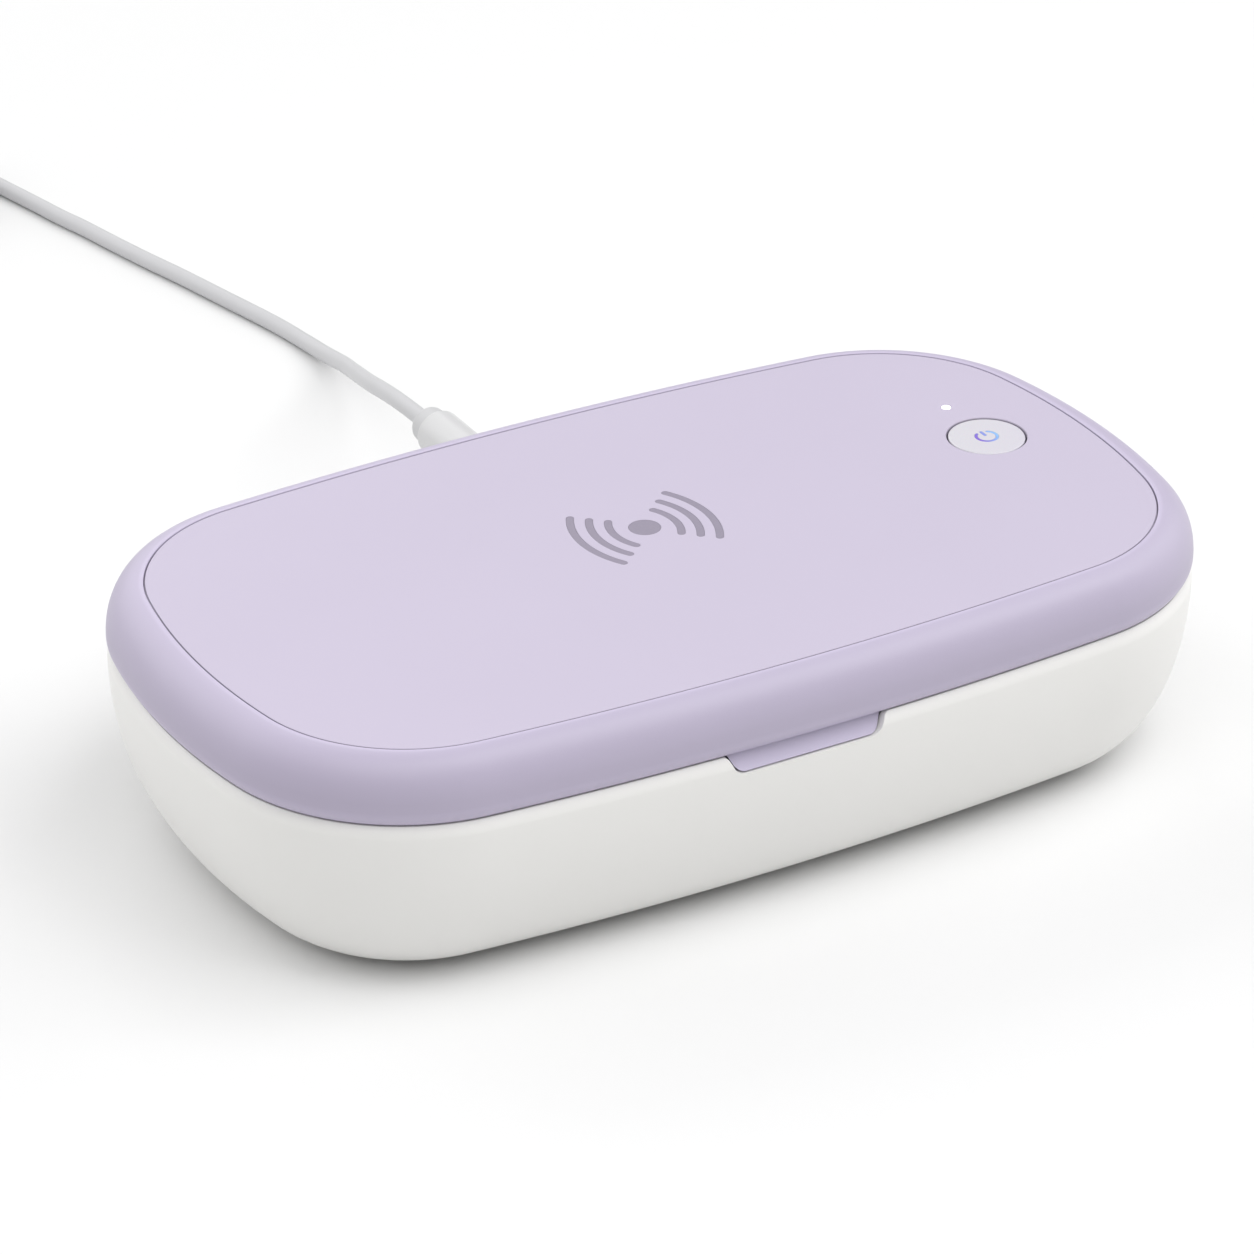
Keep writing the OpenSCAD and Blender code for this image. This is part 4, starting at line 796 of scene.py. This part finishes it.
def strokeOutline(spec, centre, radius, stroke, first, last):
    # A bent stroke with round ends
    steps, capSteps, half = spec["steps"], spec["capSteps"], stroke / 2

    def edge(radius, start, end):
        return [onCircle(centre, radius, start + (end - start) * i / steps)
                for i in range(steps + 1)]

    def cap(at, turn):
        middle = onCircle(centre, radius, at)
        return [onCircle(middle, half, at + turn + 180 * i / capSteps) for i in range(1, capSteps)]
    return (edge(radius + half, first, last) + cap(last, 0)
            + edge(radius - half, last, first) + cap(first, 180))


def signOutlines(grow):
    outlines = [circle(sign["dot"] / 2 + grow, (0, button["y"]))]
    for i in range(sign["arcs"]):
        radius = sign["radius"] + sign["grow"] * i
        middle = sign["reach"] + sign["step"] * i - radius
        right = strokeOutline(sign, (middle, button["y"]), radius, sign["stroke"] + 2 * grow,
                              -sign["half"], sign["half"])
        outlines += [right, [(-x, y) for x, y in reversed(right)]]
    return outlines


def recess(piece, spec, outlines, top):
    low, high = top - spec["depth"], top + over
    return cut(piece, *[prism(outline, low, high) for outline in outlines(spec["gap"])])


def inlay(spec, outlines, top):
    # The printed strokes that lie in the recess, their edges a little turned in
    depth, soft = spec["depth"], spec["soft"]
    return join([loft([flat(outline, top - depth), flat(outline, top - soft), flat(shrunk, top)])
                 for outline, shrunk in zip(outlines(0), outlines(-soft))])


def makePanel():
    ledge, soft, steps, edge = pick(panel, "ledge soft softSteps holeSoft")
    ledgeZ = panelZ - panel["ledgeDrop"]
    levels = [(-ledge, deckZ), (-ledge, ledgeZ), (0, ledgeZ + panel["ledgeSoft"])]
    levels += [(more, panelZ - less) for more, less in quarter(soft, steps)]
    plate = loftOf(panelRing, levels)
    cut(plate, *[turned([*rod(radius, deckZ - over, panelZ - edge),
                         *rod(radius + edge, panelZ, panelZ + over)], place, steps=counts["panel"])
                 for radius, place, counts in openings])
    recess(plate, sign, signOutlines, panelZ)
    settle(plate, "top_panel", "lid", "panel_lavender", "lid_top_panel")
    settle(inlay(sign, signOutlines, panelZ),
           "wireless_sign", "lid", "symbol_ink", "wireless_symbol")


makePanel()
print("top panel and its sign made")

# Button with its standby sign, and the status light's window
standby = {"ring": 5, "stroke": 0.6, "first": 125, "last": 415, "barAt": 1.4, "barLength": 2.2,
           "barRound": 0.45, "depth": 0.3, "gap": 0.05, "soft": 0.02, "steps": 72, "capSteps": 8}


def standbyOutlines(grow):
    x, y, _ = buttonPlace
    stroke = standby["stroke"] + 2 * grow
    ring = strokeOutline(standby, (x, y), (standby["ring"] - standby["stroke"]) / 2, stroke,
                         standby["first"], standby["last"])
    bar = roundedBox(stroke, standby["barLength"] + 2 * grow, standby["barRound"] * stroke)
    return [ring, [(x + a, y + standby["barAt"] + b) for a, b in bar]]


def makeButton():
    top, soft, steps, radius, collarR = pick(button, "top soft softSteps radius collarR")
    collarTop = ceilingZ - button["play"]
    profile = [*rod(collarR, collarTop - button["collarT"], collarTop), (radius, collarTop)]
    profile += [(radius - more, top - less) for more, less in quarter(soft, steps)]
    cap = recess(turned(profile, buttonPlace, steps=128), standby, standbyOutlines, top)
    settle(cap, "push_button", "button", "button_pearl", "button_cap")
    settle(inlay(standby, standbyOutlines, top),
           "standby_sign", "button", "button_ink", "button_symbol")
    radius, flangeR, flangeT, play = pick(lens, "radius flangeR flangeT play")
    low, high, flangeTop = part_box("led_lens")[0].z / mm, ceilingZ - flangeT, ceilingZ - play
    profile = [*rod(radius, low, high), *rod(flangeR, high, flangeTop), (radius, flangeTop)]
    profile += [(radius * share, panelZ - down) for share, down in lens["crown"]]
    settle(turned(profile, lensPlace, steps=40),
           "status_window", "lid", "lit_lens", "led_lens")


makeButton()
print("button and status light made")

# Lid's inner cover with the finger tab
liner = {"inset": 2.6, "z": 41.8, "thickness": 1.5, "soft": 0.3, "knee": 0.3, "side": 1.5,
         "front": 0.8, "leadCut": (-20, -8)}
lamp = {"x": 52, "y": 18, "windowR": 4.4, "windowT": 0.9, "gap": 0.1, "ledge": 1.25, "soft": 0.2,
        "bevel": 0.15}
magnet = {"radius": 2.5, "thickness": 1.5, "gap": 0.1, "wall": 0.6, "inset": 5.9, "turn": 70,
          "lip": 0.1, "interlockX": 22, "sink": 0.1, "floor": 1, "soft": 0.2, "root": 0.5,
          "rimDrop": 0.05}
bore = magnet["radius"] + magnet["gap"]
cupR = bore + magnet["wall"]
screw = {"x": 80, "y": 36, "hole": 1.6, "head": 2.4, "height": 1.2, "shank": 1.35, "length": 7.2,
         "dome": [(0.45, 1), (0.7, 0.93), (0.88, 0.72), (0.98, 0.4), (1, 0.12), (1, 0)],
         "cross": 1.5, "slot": 0.42, "deep": 0.75}


def magnetPlaces():
    # One round each front corner
    corner = outlineOf(0, 0, body["cornerR"] - 0.001)[body["endSteps"]]
    x, y = onCircle(corner, body["cornerR"] - magnet["inset"], magnet["turn"])
    return [(x, -y, 0), (-x, -y, 0)]


def interlockPlace():
    # The one at the rear, which the Hall sensor feels
    reach, x = body["sideR"] - magnet["inset"], magnet["interlockX"]
    return (x, back - body["sideR"] + math.sqrt(reach ** 2 - x ** 2), 0)


def lampSeats(face, way, through):
    # Stepped holes from a face inwards: the chamfer, the window's seat, the light's way
    radius, deep, soft = pick(lamp, "windowR windowT soft")
    seat, light = radius + lamp["gap"], radius - lamp["ledge"]
    profile = [*rod(seat + soft, -over, 0), *rod(seat, soft, deep),
               *rod(light, deep, through + over)]
    return turnedAt(fourWays(lamp), [(radius, face + way * at) for radius, at in profile][::way])


def makeTab():
    # It hangs in the base's notch: its web is straight, its lip sweeps out under a finger scoop
    x, lip, scoopR, soft, steps, angle = pick(tab, "x lip scoopR soft softSteps softAngle")
    half = tab["width"] / 2
    lipZ, top = partingZ - tab["height"] + casing["gap"], liner["z"] + liner["thickness"]
    web = prism(notchOutline(casing["gap"]), tabFace + tab["thickness"], tabFace - lip, "Y")
    combine(web, [block((x - half, front, 0), (x + half, 0, top))], "INTERSECT")
    chord = Vector((-lip, lipZ - lidZ))
    reach = math.sqrt(scoopR ** 2 - (chord.length / 2) ** 2)
    slope = chord.normalized()
    middle = Vector((tabFace - lip / 2, (lidZ + lipZ) / 2)) + reach * Vector((slope.y, -slope.x))
    long, out, down = tab["shave"]
    scoop = turned(rod(scoopR, -long, long), (x, *middle), "X", steps=160)
    cut(web, scoop, block((-long, front - out, lidZ - down), (long, tabFace, top + over)))
    modify(web, "BEVEL", width=soft, segments=steps, limit_method="ANGLE",
           angle_limit=math.radians(angle))
    return web


def makeLiner():
    z, inset, soft, thickness, (x0, x1) = pick(liner, "z inset soft thickness leadCut")
    knee, low, top = liner["knee"] * soft, z - over, z + thickness
    plate = loftOf(bodyRing, [(inset + soft, z), (inset + knee, z + knee), (inset, z + soft),
                              (inset, top)])
    cut(plate, block((x0, hingeFront(liner), low), (x1, back + over, top + over)),
        *hingeWindows(liner, low, top + over))
    places = magnetPlaces() + [interlockPlace()]
    rimLow, soft = z - magnet["thickness"] + magnet["lip"], magnet["soft"]
    add(plate, makeTab(), *turnedAt(places, [(cupR - soft, rimLow), (cupR, rimLow + soft),
                                             (cupR, z + magnet["root"])]))
    cut(plate, *turnedAt(places, rod(bore, z - 2 * magnet["thickness"], z + magnet["lip"])),
        *turnedAt(fourWays(screw), rod(screw["hole"], low, top + over), steps=40),
        *lampSeats(z, 1, thickness))
    settle(plate, "lid_inner_cover", "lid", "liner_lavender", "lid_liner")


makeLiner()
print("inner cover and finger tab made")

# Tray with its rails, and the windows over all eight lamps
tray = {"inset": 13, "wall": 1.5, "floorZ": 13.5, "round": 5, "flangeZ": 38.2, "flangeInset": 2.6,
        "flangeSoft": 0.15, "turnSteps": 10, "soft": 0.5, "softSteps": 4, "side": 1.5,
        "front": 1.2, "tabSide": 1.4, "tabBack": 0.5, "leadCut": (7, 17), "bossR": 3.25,
        "bossHole": 1.4, "sink": 0.2, "boardBack": 55.4}
rail = {"xs": (30, 70), "width": 3, "height": 3, "length": 60, "steps": 5, "round": 0.9}


def makeTray():
    inset, wall, floorZ, flange, rim, soft, steps, sink = pick(
        tray, "inset wall floorZ flangeZ flangeInset flangeSoft turnSteps sink")
    outer, under = inset - wall, floorZ - wall
    levels = [(outer + less, under + more) for more, less in quarter(tray["round"] + wall, steps)]
    levels += [(outer, flange - wall), (rim, flange - wall), (rim, flange - soft),
               (rim + soft, flange)]
    levels += [(inset - less, flange - more)
               for more, less in quarter(tray["soft"], tray["softSteps"])]
    levels += [(inset + less, floorZ + more)
               for more, less in reversed(quarter(tray["round"], steps))]
    basin = loftOf(bodyRing, levels)
    magnetLow = flange - magnet["thickness"] - magnet["sink"]
    cup = rod(cupR, magnetLow - magnet["floor"], flange - magnet["rimDrop"])
    add(basin, *turnedAt(fourWays(foot), rod(tray["bossR"], foot["postZ"], under + sink), steps=32),
        *turnedAt(magnetPlaces(), cup))
    low, high = flange - wall - over, flange + over
    left, right = (tab["x"] + way * (tab["width"] / 2 + tray["tabSide"]) for way in (-1, 1))
    x0, x1 = tray["leadCut"]
    screwHole = rod(tray["bossHole"], foot["postZ"] - over, under - sink)
    cut(basin, *hingeWindows(tray, low, high),
        *turnedAt(magnetPlaces(), rod(bore, magnetLow, high)),
        block((left, front, low), (right, tabFace + tab["thickness"] + tray["tabBack"], high)),
        block((x0, tray["boardBack"], low), (x1, back, high)), *lampSeats(floorZ, -1, wall),
        *turnedAt(fourWays(foot), screwHole, steps=24))
    settle(basin, "reflector_tray", "base", "tray_silver", "base_tray")


def makeRails():
    width, height, length, steps = pick(rail, "width height length steps")
    levels = [(0, 0)] + [(more, height - less) for more, less in quarter(width / 2, steps)[:-1]]

    def railRing(x, inset, up):
        corner = rail["round"] * (width / 2 - inset)
        return [(x + a, b, tray["floorZ"] + up)
                for a, b in roundedBox(width - 2 * inset, length - 2 * inset, corner, 5)]
    rails = [loft([railRing(side * x, *level) for level in levels])
             for x in rail["xs"] for side in (-1, 1)]
    settle(join(rails), "phone_rails", "base", "rail_silicone", "phone_rests")


def makeWindows():
    radius, thick, bevel = pick(lamp, "windowR windowT bevel")
    for name, z, bodyName, node in (
            ("lower_windows", tray["floorZ"] - thick, "base", "lower_lamp_windows"),
            ("upper_windows", liner["z"], "lid", "upper_lamp_windows")):
        profile = [(radius - bevel, z), *rod(radius, z + bevel, z + thick - bevel),
                   (radius - bevel, z + thick)]
        settle(join(turnedAt(fourWays(lamp), profile)), name, bodyName, "clear_window", node)


makeTray()
makeRails()
makeWindows()
print("tray, rails and windows made")

# Light seal, feet and the inner cover's screws
seal = {"inset": 9.4, "width": 2.6, "low": 38.5, "high": 41.8, "root": 0.35, "rootH": 0.8,
        "steps": 6}


def makeSeal():
    # A root strip in the cover and a round bulb that meets the tray
    inset, width, root, high, steps = pick(seal, "inset width root high steps")
    near, far, low, half = inset + root, inset + width - root, high - seal["rootH"], width / 2
    bulb = [onCircle((inset + half, seal["low"] + half), half, 180 + 90 * i / steps)
            for i in range(2 * steps + 1)]
    levels = [(near, high), (near, low), *bulb, (far, low), (far, high)]
    settle(loftOf(bodyRing, levels, capped=False),
           "light_seal", "lid", "seal_silicone", "lid_gasket")


def makeFeet():
    radius, soft, top, edge = pick(foot, "radius soft height edge")
    profile = [(radius * share, up) for share, up in foot["hollow"]]
    profile += [(radius - less, more) for more, less in quarter(soft, 4)]
    profile += [(radius, top - edge), (radius - edge, top)]
    settle(join(turnedAt(fourWays(foot), profile, steps=72)),
           "feet", "base", "rubber_grey", "rubber_feet")


def makeScrews():
    head, height, shank, length, wide, slot = pick(screw, "head height shank length cross slot")
    z, low = liner["z"], liner["z"] - height
    profile = [(share * head, z - down * height) for share, down in screw["dome"]]
    screws = turnedAt(fourWays(screw), profile + rod(shank, z, z + length), steps=48)
    for part, (x, y, _) in zip(screws, fourWays(screw)):
        for a, b in ((wide, slot), (slot, wide)):
            cut(part, block((x - a, y - b, low - over), (x + a, y + b, low + screw["deep"])))
    settle(join(screws), "cover_screws", "lid", "steel", "lid_screws", sharpness=30)


makeSeal()
makeFeet()
makeScrews()
print("seal, feet and screws made")

# Supply plug in its seat, and the far end's plug and tie
farPlug = {"at": (-74, 341, 3.8), "width": 15.4, "height": 7.6, "length": 26, "corner": 2.4,
           "soft": 0.9, "edge": 0.4, "grips": 4, "gripAt": 4, "gripStep": 2.2,
           "groove": [(0, 0), (0.35, 0.35), (0.35, 0.95), (0, 1.3)]}
shell = {"width": 12, "height": 4.5, "length": 12, "corner": 0.5, "soft": 0.1, "wall": 0.3,
         "window": 2.2, "windowX": 2.9}
tie = {"turn": 300, "width": 6, "thickness": 0.6, "room": 0.3, "inRoom": 0.6, "corner": 1.4,
       "cornerShare": 0.8, "soft": 0.15}


def plugBody(root, place, radius, length, soft, steps):
    profile = root + [(radius - more, length - less) for more, less in quarter(soft, steps)]
    return turned(profile, place, "Y", steps=96)


def makePlug():
    (x, y, z), radius, length, soft, edge = pick(plug, "at radius length soft edge")
    settle(plugBody([(radius - edge, 0), (radius, edge)], plug["at"], radius, length, soft, 6),
           "plug_grip", "base", "plug_plastic", "usb_plug_body", sharpness=50)
    radius, reach, soft = pick(plug, "reliefR reliefLength reliefSoft")
    settle(plugBody([(radius, 0)], (x, y + length, z), radius, reach, soft, 8),
           "plug_relief", "base", "relief_plastic", "strain_relief", sharpness=50)


def sections(spec, start, levels):
    # Rounded rectangles, each inset by so much and so far on from the start
    x, _, z = farPlug["at"]
    return [[(x + a, start - on, z + b) for a, b in roundedBox(
        spec["width"] - 2 * inset, spec["height"] - 2 * inset, spec["corner"] - inset)]
        for inset, on in levels]


def makeFarPlug():
    (x, y, z), length, edge, soft = pick(farPlug, "at length edge soft")
    levels = [(less, more) for more, less in quarter(soft, 4)]
    levels += [(inset, farPlug["gripAt"] + farPlug["gripStep"] * i + on)
               for i in range(farPlug["grips"]) for inset, on in farPlug["groove"]]
    settle(loft(sections(farPlug, y, levels + [(0, length - edge), (edge, length)])),
           "far_plug_grip", "base", "plug_plastic", "usb_a_plug_body", sharpness=50)
    start = y - length
    long, height, soft, wall, window, aside = pick(shell, "length height soft wall window windowX")
    levels = [(0, 0), (0, long - soft), (soft, long), (wall, long), (wall, 0)]
    sleeve = loft(sections(shell, start, levels), capped=False)
    middle, half = start - long / 2, window / 2
    cut(sleeve, *[block((at - half, middle - half, z), (at + half, middle + half, z + 2 * height))
                  for at in (x - aside, x + aside)])
    settle(sleeve, "far_plug_shell", "base", "nickel", "usb_a_plug_shell")


def makeTie():
    # A band of hook tape round the bundle, on the coil's radius at its own angle
    coilR, pitch, reach = lead["coilR"], lead["pitch"], lead["diameter"] / 2
    thick, room = tie["thickness"], tie["room"]
    bundleIn = coilR - pitch * lead["turnsIn"] - reach - tie["inRoom"]
    bundleOut, top = coilR + reach + room, lead["coilAt"][2] + pitch + reach + room
    middle = (bundleIn + bundleOut) / 2
    out, side = (Vector((*onCircle((0, 0), 1, tie["turn"] + turn), 0)) for turn in (0, 90))
    centre = Vector((*lead["coilAt"][:2], 0))

    def loop(inset, across):
        path = roundedBox(bundleOut - bundleIn + 2 * (thick - inset), top + thick - 2 * inset,
                          tie["corner"] - tie["cornerShare"] * inset, 5)
        return [centre + out * (middle + a) + side * across + Vector((0, 0, (top + thick) / 2 + b))
                for a, b in path]
    half, soft = tie["width"] / 2, tie["soft"]
    outside = [(soft, -half), (0, -half + soft), (0, half - soft), (soft, half)]
    inside = [(thick - inset, across) for inset, across in reversed(outside)]
    settle(loft([loop(*level) for level in outside + inside], capped=False),
           "coil_tie", "base", "tie_grey", "cord_tie")


makePlug()
makeFarPlug()
makeTie()
supplyLead.data.materials.append(finishes["cord_jacket"])
print("plugs and tie made")

# The CAD nodes that stay get the finish of their own slot
slotOf = {part["node"]: part["material_slot"] for part in frame["record"]["subparts"]}
for nodeName, piece in frame["nodes"].items():
    if not piece.hide_render:
        piece.data.materials.clear()
        piece.data.materials.append(finishes[slotOf[nodeName]])
print("frame's own nodes finished")

# Pale floor and soft studio light
studio = {"floor": 12, "floorZ": -0.00005, "worldStrength": 0.3, "distance": 1.7, "boxSize": 1.4,
          "paper": ((0.825, 0.825, 0.825), (0.835, 0.835, 0.835)),
          "softboxes": {  # degrees round from the front, degrees up, watts
              "front_left": (315, 58, 9.9), "front_right": (45, 58, 16.1), "right": (90, 28, 7.3),
              "rear": (180, 28, 7.4), "rear_left": (225, 28, 8.7)}}


def setStudio():
    bpy.ops.object.select_all(action="DESELECT")
    bpy.ops.mesh.primitive_plane_add(size=studio["floor"], location=(0, 0, studio["floorZ"]))
    floor = bpy.context.object
    floor.name = "floor"
    paper = Finish("studio_floor")
    paper.feed(paper.mix(paper.noise(3), *studio["paper"]), 0.9, 0.1)
    floor.data.materials.append(paper.material)
    world = bpy.data.worlds.new("studio")
    bpy.context.scene.world = world
    world.use_nodes = True
    sky = world.node_tree.nodes["Background"].inputs
    sky["Color"].default_value = (1, 1, 1, 1)
    sky["Strength"].default_value = studio["worldStrength"]
    for name, (azimuth, elevation, power) in studio["softboxes"].items():
        place = towards(azimuth, elevation) * studio["distance"]
        bpy.ops.object.light_add(type="AREA", location=place)
        box = bpy.context.object
        box.name = name
        box.data.shape, box.data.size, box.data.energy = "SQUARE", studio["boxSize"], power
        aim(box, place)
    view = bpy.context.scene.view_settings
    view.view_transform, view.look = "Standard", "None"


setStudio()
print("studio set")
